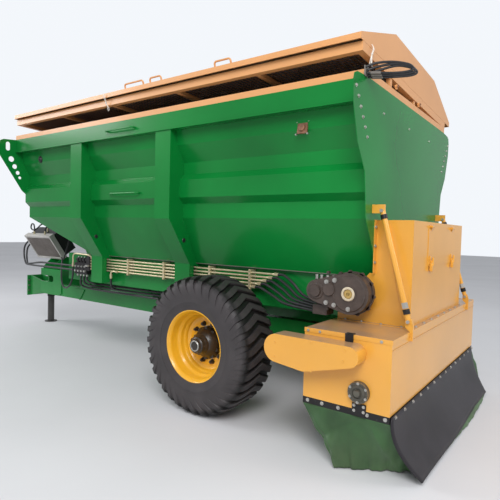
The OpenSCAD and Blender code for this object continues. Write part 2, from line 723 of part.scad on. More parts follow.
housing_rear_x = rear_x - housing_len;
housing_t = 4;
box_top_z = box_z + box_h;
function housing_side() = [
  [housing_rear_x, housing_top_z],
  [rear_x, housing_top_z],
  [rear_x, housing_step_z],
  [rear_x + 40, housing_step_z],
  [rear_x + 0.75 * housing_foot, 1090],
  [rear_x + housing_foot, box_top_z + 60],
  [rear_x + housing_foot, box_top_z],
  [housing_rear_x, box_top_z]
];
module housing() {
  color("orange") {
    difference() {
      along_y(-housing_hw, housing_hw) polygon(housing_side());
      box_at([housing_rear_x + housing_t, -housing_hw + housing_t, box_top_z - 1],
             [rear_x + housing_foot + 1, housing_hw - housing_t, housing_top_z - housing_t]);
      box_at([housing_rear_x - 1, -door_hw + 25, door_z + 25],
             [housing_rear_x + housing_t + 1, door_hw - 25, door_z + door_h - 25]);
      bar_y(conveyor_rear_x, conveyor_z, -housing_hw - 1, housing_hw + 1, conveyor_shaft_r + seat_gap);
    }
    // Flange bearing of the conveyor's rear shaft
    difference() {
      bar_y(conveyor_rear_x, conveyor_z, -housing_hw - 28, -housing_hw, 72);
      bar_y(conveyor_rear_x, conveyor_z, -housing_hw - 29, -housing_hw + 1, conveyor_shaft_r + seat_gap);
    }
    // Front plate under the hopper's floor
    box_at([rear_x + housing_foot - housing_t, -housing_hw, box_top_z],
           [rear_x + housing_foot, housing_hw, box_top_z + 60]);
    both_sides() {
      // Flange on the hopper's rear wall
      box_at([rear_x - housing_t, housing_hw, housing_step_z], [rear_x, housing_hw + 45, housing_top_z]);
      // Slanting rib on the side plate
      along_y(housing_hw, housing_hw + 14)
        polygon([[rear_x - 70, housing_top_z - 30], [rear_x - 95, housing_top_z - 30],
                 [housing_rear_x + 20, box_top_z + 60],
                 [housing_rear_x + 45, box_top_z + 60]]);
    }
    // Hinge knuckles of the access door
    for (y = [-door_hw + 60, door_hw - 60]) for (s = [-1, 1])
      translate([0, y + s * 26, 0]) along_y(-8, 8) difference() {
        union() {
          translate([door_pin_x, door_pin_z]) circle(r = 10);
          polygon([[door_pin_x, door_pin_z - 8], [housing_rear_x, door_pin_z - 10],
                   [housing_rear_x, door_pin_z + 10],
                   [door_pin_x, door_pin_z + 8]]);
        }
      }
    for (y = [-door_hw + 60, door_hw - 60]) bar_y(door_pin_x, door_pin_z, y - 38, y + 38, 5);
  }
}
door_pin_x = housing_rear_x - 14;
door_pin_z = door_z + door_h + 12;
module access_door() {
  color("orange") {
    box_at([housing_rear_x - door_t - seat_gap, -door_hw, door_z],
           [housing_rear_x - seat_gap, door_hw, door_z + door_h]);
    for (y = [-door_hw + 60, door_hw - 60]) translate([0, y, 0]) along_y(-16, 16) difference() {
      union() {
        translate([door_pin_x, door_pin_z]) circle(r = 10);
        polygon([[door_pin_x - 9, door_pin_z], [door_pin_x + 6, door_pin_z],
                 [housing_rear_x - seat_gap - 1, door_z + door_h - 20],
                 [housing_rear_x - seat_gap - door_t - 1, door_z + door_h - 20]]);
      }
      translate([door_pin_x, door_pin_z]) circle(r = 5 + run_gap);
    }
    // Latches at the lower edge
    for (y = [-350, 330]) box_at([housing_rear_x - 26, y - 14, door_z - 38],
                                 [housing_rear_x - seat_gap - door_t, y + 14, door_z + 40]);
  }
}

// Ends of the left stay rod
stay_top = [rear_x - 74, housing_hw + 90, housing_top_z + 63];
stay_low = [box_x0 + 14, housing_hw + 133, box_top_z + 70];
stay_r = 19;
module stay_rods() {
  color("orange") both_sides() {
    bar_between(stay_top, stay_low, stay_r);
    box_at([rear_x - 92, stay_top[1] - 10, stay_top[2] - 18], [rear_x, stay_top[1] + 10, stay_top[2] + 44]);
    along_y(stay_low[1] - 12, stay_low[1] + 12) polygon([
      [box_x0 - 6, box_top_z + 92], [box_x0 + 34, box_top_z + 92], [box_x0 + 34, box_top_z + 32],
      [box_x0, box_top_z],
      [box_x0, box_top_z - 58], [box_x0 - 20, box_top_z - 58], [box_x0 - 20, box_top_z + 42]]);
  }
}

// Spreading box
auger_x = box_x0 + 420;
auger_z = 750;
roller_x = rear_x - 112;
roller_z = 545;
function box_opening() = [box_x0 + 45, rear_x + housing_foot - 12];
module spreading_box() {
  open = box_opening();
  color("orange") difference() {
    box_at([box_x0, -box_hw, box_z], [box_x1, box_hw, box_top_z]);
    box_at([box_x0 + box_t, -box_hw + box_t, box_z - 1], [box_x1 - box_t, box_hw - box_t, box_top_z - box_t]);
    box_at([open[0], -housing_hw + 12, box_top_z - 2 * box_t], [open[1], housing_hw - 12, box_top_z + 1]);
    for (p = [[auger_x, auger_z], [roller_x, roller_z]])
      bar_y(p[0], p[1], -box_hw - 1, box_hw + 1, shaft_r + run_gap);
  }
}
// Outline of a chain case: place behind the box's front plane, height, corner radius
case_corners = [[-150, 762, 98], [385, 792, 68], [60, 722, 82]];
module case_outline() {
  hull() for (c = case_corners) translate([box_x1 - c[0], c[1]]) circle(r = c[2], $fn = 72);
}
bearing_h = 30;
module chain_cases() {
  color("orange") both_sides() difference() {
    along_y(box_hw, box_hw + case_w) case_outline();
    bar_y(auger_x, auger_z, box_hw - 1, box_hw + 30, shaft_r + 1);
  }
  color("dimgray") both_sides() difference() {
    bar_y(roller_x, roller_z, box_hw, box_hw + bearing_h, 70);
    bar_y(roller_x, roller_z, box_hw - 1, box_hw + bearing_h - 6, shaft_r + run_gap);
  }
}

module skirt_bars() {
  color("dimgray") ring_bars();
}
module ring_bars() {
  difference() {
    box_at([box_x0, -box_hw, box_z - bar_h], [box_x1, box_hw, box_z]);
    box_at([box_x0 + bar_t, -box_hw + bar_t, box_z - bar_h - 1], [box_x1 - bar_t, box_hw - bar_t, box_z + 1]);
  }
}
// Corners of the skirt's hem: forward of the box's front plane, then sideways
hem_corners = [[-263, 1255], [-690, 1005], [-735, -1190], [-263, -1255]];
module skirt_solid(grow, z0, z1) {
  hull() {
    box_at([box_x0 + grow, -box_hw + grow, z1 - 1], [box_x1 - grow, box_hw - grow, z1]);
    for (c = hem_corners) translate([box_x1 + c[0] + (c[0] > -400 ? -grow : grow),
                                     c[1] + (c[1] > 0 ? -grow : grow), z0]) cube([1, 1, 1]);
  }
}
module canvas_skirt() {
  color("darkseagreen") difference() {
    skirt_solid(0, hem_gap, box_z - bar_h);
    skirt_solid(canvas_t, hem_gap - 1, box_z - bar_h + 1);
  }
}
module rubber_flap() {
  top_x = box_x0 - seat_gap;
  color("darkslategray") along_y(-flap_hw, flap_hw)
    polygon([[top_x, box_z + 15], [top_x - flap_t, box_z + 15], [top_x - flap_t - 8, box_z - 60],
             [box_x0 - flap_reach - 6, hem_gap], [box_x0 - flap_reach + flap_t - 6, hem_gap],
             [top_x - 8, box_z - 64]]);
}

// One hand of the auger: a flight of constant lead wound on the shaft
module auger_flight(y0, turns) {
  translate([auger_x, y0, auger_z]) rotate([-90, 0, 0])
    linear_extrude(turns * auger_lead, twist = 360 * turns, slices = 14 * turns, $fn = 4)
      polygon([[shaft_r - 6, -5], [auger_r, -4], [auger_r, 4], [shaft_r - 6, 5]]);
}
auger_turns = 4;
module auger() {
  color("dimgray") {
    bar_y(auger_x, auger_z, -box_hw - 25, box_hw + 25, shaft_r);
    auger_flight(60, auger_turns);
    mirror([0, 1, 0]) auger_flight(60, auger_turns);
  }
}
paddle_count = 8;
module spreading_roller() {
  color("dimgray") {
    bar_y(roller_x, roller_z, -box_hw - bearing_h + 8, box_hw + bearing_h - 8, shaft_r);
    bar_y(roller_x, roller_z, -box_hw + 30, box_hw - 30, roller_r - 40);
    for (i = [0 : paddle_count - 1]) translate([roller_x, 0, roller_z]) rotate([0, i * 360 / paddle_count, 0])
      box_at([roller_r - 50, -box_hw + 30, -5], [roller_r, box_hw - 30, 5]);
  }
}

gear_x = conveyor_rear_x;
gear_z = conveyor_z;
gear_y0 = housing_hw + gear_boss;
gear_face_y = gear_y0 + gear_w;
module gear_outline(grow) {
  tangent = asin((gear_r - gear_small_r) / gear_reach);
  union() {
    circle(r = gear_r + grow);
    translate([gear_reach, 0]) circle(r = gear_small_r + grow);
    polygon([for (s = [1, -1], e = [0, 1])
      let (end = s > 0 ? e : 1 - e, r = end > 0 ? gear_small_r + grow : gear_r + grow)
      [end * gear_reach + r * sin(tangent), s * r * cos(tangent)]]);
  }
}
module gearbox() {
  color("dimgray") difference() {
    union() {
      translate([gear_x, 0, gear_z]) along_y(gear_y0, gear_face_y) gear_outline(0);
      translate([gear_x, 0, gear_z]) along_y(gear_y0 + 40, gear_y0 + 58) gear_outline(10);
      bar_y(gear_x, gear_z, housing_hw, gear_y0, 90);
      bar_y(gear_x, gear_z, gear_face_y, gear_face_y + 12, 62);
    }
    bar_y(gear_x, gear_z, housing_hw - 1, gear_face_y + 13, conveyor_shaft_r + seat_gap);
  }
}
motor_r = 62;
module drive_motor() {
  x = gear_x + gear_reach;
  color("dimgray") {
    bar_y(x, gear_z, sill_hw + motor_gap, gear_y0, motor_r);
    box_at([x - 60, gear_y0 - 60, gear_z - 190], [x + 60, gear_y0, gear_z - 30]);
    box_at([x - 60, gear_y0 - 1, gear_z - 190], [x + 60, gear_y0 + 60, gear_z - gear_small_r - 34]);
  }
}

// Oil cooler, leaning with its finned face to the left and down
cooler_y = 499;
cooler_z = 1418;
fin_count = 26;
// Lower corners of the leaning cooler, a seat's gap above its stands
cooler_low_y = cooler_y - cooler_h * sin(cooler_lean);
cooler_low_z = cooler_z - cooler_h * cos(cooler_lean) - seat_gap;
cooler_back_y = cooler_low_y - 70 * cos(cooler_lean);
cooler_back_z = cooler_low_z + 70 * sin(cooler_lean);
module on_cooler() {
  translate([cooler_x, cooler_y, cooler_z]) rotate([-cooler_lean, 0, 0]) children();
}
module oil_cooler() {
  rim_b = 28;
  color("gainsboro") on_cooler() {
    difference() {
      box_at([0, -70, -cooler_h], [cooler_len, 0, 0]);
      box_at([rim_b, -45, -cooler_h + rim_b], [cooler_len - rim_b, 1, -rim_b]);
    }
    for (i = [1 : fin_count - 1])
      box_at([rim_b + i * (cooler_len - 2 * rim_b) / fin_count - 2, -46, -cooler_h + rim_b - 1],
             [rim_b + i * (cooler_len - 2 * rim_b) / fin_count + 2, -6, -rim_b + 1]);
  }
  color("dimgray") on_cooler() difference() {
    box_at([20, -cooler_d, -cooler_h + 20], [cooler_len - 20, -70, -20]);
    translate([cooler_len / 2, -cooler_d + 90, -cooler_h / 2]) rotate([90, 0, 0]) cylinder(r = 150, h = 100);
  }
}

valve_x = post_places[1] + 218;
module valve_bank() {
  color("dimgray") {
    box_at([valve_x, sill_hw, 1040], [valve_x + 60, pipe_y + 25, 1220]);
    for (i = [0 : 3])
      box_at([valve_x + 60 + i * 62, sill_hw, 990], [valve_x + 118 + i * 62, sill_hw + 90, 1130]);
    box_at([valve_x + 60, sill_hw, 1010], [valve_x + 310, sill_hw + 50, 1110]);
  }
}

pipe_r = 9;
pipe_y = sill_hw + 70;
pipe_z = [1195, 1162, 1130, 1098, 1066];
clamp_places = [post_places[0] + 330, post_places[0] + 900, post_places[0] - 300, post_places[0] - 780];
pipe_end_x = post_places[0] - 1080;
module steel_pipes() {
  color("tan") {
    for (i = [0 : len(pipe_z) - 1]) bar_x(pipe_y, pipe_z[i], pipe_end_x + 60 * i, valve_x, pipe_r);
    for (x = clamp_places) box_at([x - 12, sill_hw, pipe_z[4] - 25], [x + 12, pipe_y + 16, pipe_z[0] + 25]);
  }
}

hose_r = 12;
// Where the hoses run: from the cooler's front end, from the valves, and from the pipes' ends
// Hose laid in straight runs that overlap at each bend; every second run is a little thinner
module hose(points) {
  for (i = [0 : len(points) - 2]) {
    way = (points[i + 1] - points[i]) / norm(points[i + 1] - points[i]);
    bar_between(points[i] - (i > 0 ? 0.8 : 0) * hose_r * way,
                points[i + 1] + (i < len(points) - 2 ? 0.8 : 0) * hose_r * way, hose_r - (i % 2));
  }
}
motor_port_y = gear_y0 - 120;
cooler_end_x = cooler_x + cooler_len;
module hoses() {
  color("black") {
    for (i = [0, 1]) hose([
      [cooler_end_x + seat_gap, 420 - 60 * i, 1330 - 20 * i],
      [cooler_end_x + 90, 420 - 60 * i, 1330 - 20 * i],
      [cooler_end_x + 125, 440 - 40 * i, 1150], [cooler_end_x + 10, 474 - 30 * i, 1020],
      [frame_front_x + 80, pipe_y, 1030 + 50 * i], [valve_x + 304 + seat_gap, pipe_y, 1030 + 50 * i]]);
    for (i = [0 : 2]) hose([
      [valve_x + 90 + 62 * i, sill_hw + 60, 990 - seat_gap],
      [valve_x + 90 + 62 * i, sill_hw + 60, 880 - 30 * i],
      [valve_x - 60, 480 + 34 * i, 860 - 30 * i], [wheel_x + 300, 480 + 34 * i, 860 - 30 * i]]);
    for (i = [0 : len(pipe_z) - 1]) hose([
      [pipe_end_x + 60 * i - seat_gap, pipe_y, pipe_z[i]], [pipe_end_x - 60 + 60 * i, pipe_y, pipe_z[i]],
      [gear_x + gear_reach + 110, motor_port_y + 30 * i, 1010 - 14 * i],
      [gear_x + gear_reach + 60 + seat_gap, motor_port_y + 30 * i, 1010 - 14 * i]]);
  }
}

// Grab bars: front end, rear end, height
upper_grab = [50, -366, 2550];
lower_grab = [142, -304, 1925];
grab_reach = 40;
module grab_bars() {
  color("forestgreen") both_sides() {
    for (g = [[upper_grab, rail_hw], [lower_grab, belt_hw]]) {
      bar = g[0];
      bent_pipe([[bar[0], g[1], bar[2]], [bar[0], g[1] + grab_reach, bar[2]],
                 [bar[1], g[1] + grab_reach, bar[2]], [bar[1], g[1], bar[2]]], 9, 25);
    }
  }
}

jack_x = hitch_x - jack_back;
jack_tube_r = jack_r + 8;
jack_top_z = 945;
jack_leg_h = 600;
jack_foot_r = 95;
module jack_tube() {
  color("dimgray") {
    difference() {
      translate([jack_x, -jack_y, jack_tube_z]) cylinder(r = jack_tube_r, h = jack_top_z - jack_tube_z);
      translate([jack_x, -jack_y, jack_tube_z - 1])
        cylinder(r = jack_r + 1, h = jack_top_z - jack_tube_z - 19);
    }
    box_at([jack_x - 40, -jack_y + jack_tube_r - 4, tongue_z + 104],
           [jack_x + 40, -tongue_hw, tongue_z + 244]);
    translate([jack_x, -jack_y, jack_top_z - 1]) cylinder(r = 22, h = 34);
  }
}
module jack_leg() {
  color("dimgray") {
    translate([jack_x, -jack_y, 11]) cylinder(r = jack_r, h = jack_leg_h);
    translate([jack_x, -jack_y, 0]) cylinder(r = jack_foot_r, h = 12);
  }
}

// Cross-section of the tyre's casing: radius, height from the tyre's mid-plane; the wheel turns about Z here
casing_r = tyre_r - lug_h;
module tyre_section() {
  half = tyre_w / 2;
  bead_r = rim_r - 20 + seat_gap;
  side = [[bead_r, rim_w / 2 - 30], [rim_r + 3, rim_w / 2 - 14], [rim_r + 28, half - 16],
          [rim_r + 80, half - 3],
          [rim_r + 130, half], [casing_r - 70, half - 6], [casing_r - 26, half - 28],
          [casing_r - 5, half - 70], [casing_r, 60]];
  inner = [[bead_r, rim_w / 2 - 70], [casing_r - 90, half - 30], [casing_r - 34, half - 70]];
  polygon(concat(side, [for (p = reversed(side)) [p[0], -p[1]]], [for (p = inner) [p[0], -p[1]]],
                 reversed(inner)));
}
// One V-shaped lug: its arms lean back from the middle of the tread to the shoulders
lug_lean = 70;
module lug() {
  half = tyre_w / 2;
  arm = [[0, lug_w / 2 + lug_lean / 2], [0.55 * half, lug_w / 2 - lug_lean / 2],
         [half - 3, lug_w / 2 - lug_lean / 2 - 6]];
  edge = [for (p = arm) [p[0], p[1] - lug_w]];
  translate([casing_r - 30, 0, 0]) rotate([0, 90, 0]) linear_extrude(60)
    polygon(concat(reversed(arm), [for (p = arm) if (p[0] > 0) [-p[0], p[1]]],
                   reversed([for (p = edge) [-p[0], p[1]]]), [for (p = edge) if (p[0] > 0) p]));
}
module tread_band() {
  half = tyre_w / 2;
  rotate_extrude() polygon([[casing_r - 30, -half + 3], [tyre_r - 60, -half + 3], [tyre_r - 14, -half + 26],
                            [tyre_r, -half + 80],
                            [tyre_r, half - 80], [tyre_r - 14, half - 26], [tyre_r - 60, half - 3],
                            [casing_r - 30, half - 3]]);
}
module tyre() {
  color("dimgray") {
    rotate_extrude() tyre_section();
    intersection() {
      tread_band();
      for (i = [0 : lug_count - 1]) rotate([0, 0, 90 + i * 360 / lug_count]) lug();
    }
  }
}
module at_wheel() {
  translate([wheel_x, track_half, wheel_z]) rotate([-90, 0, 0]) children();
}
module tyre_left() {
  at_wheel() tyre();
}
module tyre_right() {
  mirror([0, 1, 0]) at_wheel() tyre();
}
// Deep-dished steel wheel; outboard is +Z here
module wheel() {
  half = rim_w / 2;
  disc_z = half - dish;
  drop_r = rim_r - 48;
  color("gold") difference() {
    rotate_extrude() polygon([
      [rim_r, half], [rim_r, half - 12], [rim_r - 20, half - 26], [rim_r - 20, 60], [drop_r + 6, 34],
      [drop_r + 6, -40],
      [rim_r - 20, -70], [rim_r - 20, -half + 26], [rim_r, -half + 12], [rim_r, -half],
      [rim_r - 8, -half], [rim_r - 28, -half + 22], [rim_r - 28, -76], [drop_r - 4, -46],
      [drop_r - 4, disc_z - 8],
      [hub_r + 2.5, disc_z - 8], [hub_r + 2.5, disc_z + 8], [drop_r - 30, disc_z + 8],
      [drop_r - 16, disc_z + 22],
      [drop_r - 4, disc_z + 30], [drop_r - 4, 30], [rim_r - 28, 60], [rim_r - 28, half - 22],
      [rim_r - 8, half]]);
    for (i = [0 : nut_count - 1]) rotate([0, 0, i * 360 / nut_count])
      translate([nut_circle_r, 0, disc_z - 30]) cylinder(r = 11 + seat_gap, h = 60);
  }
}
// Hub that turns on the stub axle, with its studs, nuts and cap
module hub() {
  disc_z = rim_w / 2 - dish;
  back_z = disc_z - 8 - seat_gap;
  color("dimgray") difference() {
    union() {
      translate([0, 0, disc_z - hub_depth]) cylinder(r = hub_r - 26, h = hub_depth - 20);
      translate([0, 0, back_z - 18]) cylinder(r = nut_circle_r + 23, h = 18);
      translate([0, 0, back_z - 1]) cylinder(r = hub_r, h = 60);
      translate([0, 0, back_z + 59]) cylinder(r1 = hub_r, r2 = 80, h = 62);
      translate([0, 0, back_z + 121]) cylinder(r = 66, h = 36);
      translate([0, 0, back_z + 157]) cylinder(r1 = 54, r2 = 48, h = 36);
      for (i = [0 : nut_count - 1])
        rotate([0, 0, i * 360 / nut_count]) translate([nut_circle_r, 0, back_z - 1]) {
        cylinder(r = 11, h = 56);
        translate([0, 0, 17 + 2 * seat_gap]) cylinder(r = 19, h = 20, $fn = 6);
      }
    }
    translate([0, 0, disc_z - hub_depth - 1]) cylinder(r = stub_r + run_gap, h = hub_depth - 17);
  }
}
module wheel_left() {
  at_wheel() {
    wheel();
    hub();
  }
}
module wheel_right() {
  mirror([0, 1, 0]) at_wheel() {
    wheel();
    hub();
  }
}

// Sieve frame: a ring of tube, cross tubes, hinge eyes and the arms that carry the hood's hinge
sieve_cross = [for (i = [1 : 4]) cover_x0 + i * cover_len / 5];
module sieve_frame() {
  color("sandybrown") on_cover() {
    ring_x(cover_x0, cover_x1, sieve_hw, sieve_w, sieve_z, sieve_top_z);
    for (x = sieve_cross)
      box_at([x - 20, -sieve_hw + sieve_w, sieve_z + 6], [x + 20, sieve_hw - sieve_w, sieve_z + 36]);
    for (x = hinge_places) {
      translate([x, 0, 0]) along_x(-hinge_w / 2, hinge_w / 2) difference() {
        union() {
          translate([-hinge_y, hinge_z]) circle(r = eye_r);
          polygon([[-hinge_y, hinge_z - eye_r], [-sieve_hw, sieve_z], [-sieve_hw, sieve_top_z - 10],
                   [-hinge_y, hinge_z + eye_r]]);
        }
        translate([-hinge_y, hinge_z]) circle(r = pin_r + run_gap);
      }
      // Arm to the hood's hinge, beside the lower hinge
      for (s = [-1, 1]) translate([x + 100 + s * 31, 0, 0]) along_x(-5, 5) union() {
        translate([-hood_hinge_y, hood_hinge_z]) circle(r = eye_r - 2);
        polygon([[-hood_hinge_y, hood_hinge_z - eye_r + 2], [-sieve_hw, sieve_top_z - 45],
                 [-sieve_hw, sieve_top_z - 2],
                 [-hood_hinge_y + 12, hood_hinge_z + eye_r - 8]]);
      }
      bar_x(-hood_hinge_y, hood_hinge_z, x + 100 - 42, x + 100 + 42, pin_r);
    }
  }
}
mesh_z = sieve_z + 36 + seat_gap;
module sieve_rods() {
  x0 = cover_x0 + sieve_w + seat_gap;
  x1 = cover_x1 - sieve_w - seat_gap;
  hw = sieve_hw - sieve_w - seat_gap;
  across = floor(2 * hw / rod_pitch_y);
  along = floor((x1 - x0) / rod_pitch_x);
  color("dimgray") on_cover() {
    for (i = [1 : across - 1]) let (y = -hw + i * 2 * hw / across)
      box_at([x0, y - rod_t / 2, mesh_z], [x1, y + rod_t / 2, mesh_z + rod_t]);
    for (i = [1 : along - 1]) let (x = x0 + i * (x1 - x0) / along)
      box_at([x - rod_t / 2, -hw, mesh_z + rod_t + seat_gap],
             [x + rod_t / 2, hw, mesh_z + 2 * rod_t + seat_gap]);
  }
}

// Hood: a folded roof with flat gable ends, open below
hood_z = sieve_top_z + 2;
function roof_line(inset) = [
  [-hood_shift - hood_hw + inset, hood_z - (inset > 0 ? 1 : 0)],
  [-hood_shift - hood_hw + inset, hood_z + hood_flange - 0.2 * inset],
  [-hood_shift - hood_top_hw, hood_z + hood_flange + hood_rise - inset],
  [-hood_shift + hood_top_hw, hood_z + hood_flange + hood_rise - inset],
  [-hood_shift + hood_hw - inset, hood_z + hood_flange - 0.2 * inset],
  [-hood_shift + hood_hw - inset, hood_z - (inset > 0 ? 1 : 0)]
];
module hood() {
  color("sandybrown") on_cover() {
    difference() {
      along_x(cover_x0, cover_x1) polygon(roof_line(0));
      along_x(cover_x0 + hood_t, cover_x1 - hood_t) polygon(roof_line(hood_t));
    }
    for (x = hinge_places) translate([x + 100, 0, 0]) along_x(-25, 25) difference() {
      union() {
        translate([-hood_hinge_y, hood_hinge_z]) circle(r = eye_r - 2);
        polygon([[-hood_hinge_y - 8, hood_hinge_z + 4], [-hood_hinge_y + 8, hood_hinge_z + 4],
                 [-hood_hinge_y + 6, hood_z + hood_flange + 10],
                 [-hood_shift - hood_hw + hood_t - 1, hood_z + hood_flange - 4],
                 [-hood_shift - hood_hw + hood_t - 1, hood_z + 20]]);
      }
      translate([-hood_hinge_y, hood_hinge_z]) circle(r = pin_r + run_gap);
    }
  }
}
// Handles on the hood's left slope: rear end, front end
handle_spans = [[-1571, -1400], [-755, -607], [-510, -247]];
module hood_handles() {
  slope = atan(hood_rise / (hood_hw - hood_top_hw));
  color("sandybrown") on_cover()
    translate([0, hood_hw - hood_shift, hood_z + hood_flange]) rotate([-slope, 0, 0])
      for (h = handle_spans)
        bent_pipe([[h[0], -60, 0], [h[0], -60, 45], [h[1], -60, 45], [h[1], -60, 0]], 8, 22);
}

side_wall_left();
side_wall_right();
front_wall();
rear_wall();
top_rail();
rim();
posts();
upper_frame();
lower_frame();
hitch();
axle();
floor_plate();
floor_chain();
conveyor_shafts();
housing();
stay_rods();
access_door();
spreading_box();
chain_cases();
skirt_bars();
canvas_skirt();
rubber_flap();
auger();
spreading_roller();
gearbox();
drive_motor();
oil_cooler();
valve_bank();
steel_pipes();
hoses();
grab_bars();
jack_tube();
jack_leg();
tyre_left();
wheel_left();
tyre_right();
wheel_right();
sieve_frame();
sieve_rods();
hood();
hood_handles();
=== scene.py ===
import bpy
import bmesh
import math
from mathutils import Matrix, Vector


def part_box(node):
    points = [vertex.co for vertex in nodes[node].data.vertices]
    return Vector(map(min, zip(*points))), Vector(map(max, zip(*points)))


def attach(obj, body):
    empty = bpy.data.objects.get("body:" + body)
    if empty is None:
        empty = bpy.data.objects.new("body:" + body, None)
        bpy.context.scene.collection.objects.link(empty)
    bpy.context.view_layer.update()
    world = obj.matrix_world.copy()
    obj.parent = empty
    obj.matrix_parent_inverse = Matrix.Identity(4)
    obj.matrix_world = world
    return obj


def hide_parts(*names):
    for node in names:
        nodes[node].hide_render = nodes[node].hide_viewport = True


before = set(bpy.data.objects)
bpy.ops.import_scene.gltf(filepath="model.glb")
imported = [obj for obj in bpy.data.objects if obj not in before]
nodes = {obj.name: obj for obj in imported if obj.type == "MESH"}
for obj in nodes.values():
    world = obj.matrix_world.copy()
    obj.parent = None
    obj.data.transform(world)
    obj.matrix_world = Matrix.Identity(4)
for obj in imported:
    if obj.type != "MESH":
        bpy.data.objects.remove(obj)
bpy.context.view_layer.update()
scene = bpy.context.scene
scene.view_settings.view_transform = "Standard"

# Camera at the photograph's place; forward is +X, the machine's left is +Y, and lengths are in metres
camera_data = bpy.data.cameras.new("camera")
camera_data.lens = 33.55
camera_data.sensor_width = 36.0
camera = bpy.data.objects.new("camera", camera_data)
camera.matrix_world = Matrix((
    (-0.8086, 0.0442, -0.5868, -4.000),
    (-0.5878, -0.0159, 0.8089, 4.087),
    (0.0265, 0.9991, 0.0388, 1.560),
    (0.0, 0.0, 0.0, 1.0)))
scene.collection.objects.link(camera)
scene.camera = camera

# Soft light all round, with a brighter sky to the left of the machine
world = bpy.data.worlds.new("sky")
world.use_nodes = True
scene.world = world
sky_nodes = world.node_tree.nodes
sky_links = world.node_tree.links
sky = sky_nodes["Background"]
sky.inputs["Color"].default_value = (0.93, 0.96, 1.0, 1.0)
sky.inputs["Strength"].default_value = 0.56
backdrop = sky_nodes.new("ShaderNodeBackground")
backdrop.inputs["Color"].default_value = (0.90, 0.93, 0.97, 1.0)
backdrop.inputs["Strength"].default_value = 1.0
ray = sky_nodes.new("ShaderNodeLightPath")
mixed_sky = sky_nodes.new("ShaderNodeMixShader")
sky_links.new(ray.outputs["Is Camera Ray"], mixed_sky.inputs[0])
sky_links.new(sky.outputs[0], mixed_sky.inputs[1])
sky_links.new(backdrop.outputs[0], mixed_sky.inputs[2])
sky_links.new(mixed_sky.outputs[0], sky_nodes["World Output"].inputs["Surface"])


def studio_lamp(name, place, aim, size, power):
    lamp = bpy.data.lights.new(name, "AREA")
    lamp.size = size
    lamp.energy = power
    lamp_object = bpy.data.objects.new(name, lamp)
    lamp_object.location = place
    lamp_object.rotation_euler = (Vector(aim) - Vector(place)).to_track_quat("-Z", "Y").to_euler()
    scene.collection.objects.link(lamp_object)


studio_lamp("key_lamp", (-6.0, 7.5, 7.5), (-0.5, 0.0, 1.2), 5.0, 760.0)
studio_lamp("rear_lamp", (-10.0, -3.0, 6.0), (-2.0, 0.0, 1.2), 4.0, 230.0)
studio_lamp("front_lamp", (8.0, 5.0, 6.0), (1.0, 0.0, 1.0), 4.0, 340.0)


# Finishes
def noise(tree, place, scale, detail):
    """Noise over the piece, from 0 to 1."""
    texture = tree.nodes.new("ShaderNodeTexNoise")
    texture.inputs["Scale"].default_value = scale
    texture.inputs["Detail"].default_value = detail
    tree.links.new(place, texture.inputs["Vector"])
    return texture.outputs["Fac"]


def stretched(tree, value, start, end, low=0.0, high=1.0):
    """A value that runs from low at start to high at end."""
    reach = tree.nodes.new("ShaderNodeMapRange")
    reach.inputs["From Min"].default_value = start
    reach.inputs["From Max"].default_value = end
    reach.inputs["To Min"].default_value = low
    reach.inputs["To Max"].default_value = high
    tree.links.new(value, reach.inputs["Value"])
    return reach.outputs[0]


def combined(tree, operation, one, two):
    """Two values joined by a sum, a product or the like."""
    math_node = tree.nodes.new("ShaderNodeMath")
    math_node.operation = operation
    tree.links.new(one, math_node.inputs[0])
    tree.links.new(two, math_node.inputs[1])
    return math_node.outputs[0]


def laid_over(tree, shade, share, color):
    """A plain colour laid over the shade by a share of 0 to 1."""
    mixed = tree.nodes.new("ShaderNodeMix")
    mixed.data_type = "RGBA"
    mixed.inputs["B"].default_value = list(color) + [1.0]
    tree.links.new(share, mixed.inputs["Factor"])
    tree.links.new(shade, mixed.inputs["A"])
    return mixed.outputs["Result"]


def splashed_dust(tree, place, shade, dust):
    """Splashed dust, thick at the base height and gone at the top height."""
    base, top, strength, color = dust
    split = tree.nodes.new("ShaderNodeSeparateXYZ")
    tree.links.new(place, split.inputs[0])
    fade = stretched(tree, split.outputs["Z"], top, base, 0.0, strength)
    return laid_over(tree, shade, combined(tree, "MULTIPLY", fade, noise(tree, place, 9.0, 8.0)), color)


def settled_powder(tree, place, shade, settled):
    """Dry powder in patches on the faces that look upward."""
    strength, color = settled
    facing = tree.nodes.new("ShaderNodeSeparateXYZ")
    tree.links.new(tree.nodes.new("ShaderNodeTexCoord").outputs["Normal"], facing.inputs[0])
    upward = stretched(tree, facing.outputs["Z"], 0.55, 0.95)
    thickness = stretched(tree, noise(tree, place, 5.0, 9.0), 0.3, 0.7, strength * 0.6, strength)
    return laid_over(tree, shade, combined(tree, "MULTIPLY", upward, thickness), color)


def worn_spots(tree, place, shade, color, wear):
    """Small spots where the paint is rubbed to a duller tone."""
    spots = stretched(tree, noise(tree, place, 38.0, 10.0), 0.62, 0.74, 0.0, wear)
    return laid_over(tree, shade, spots, [0.35 * c + 0.12 for c in color])


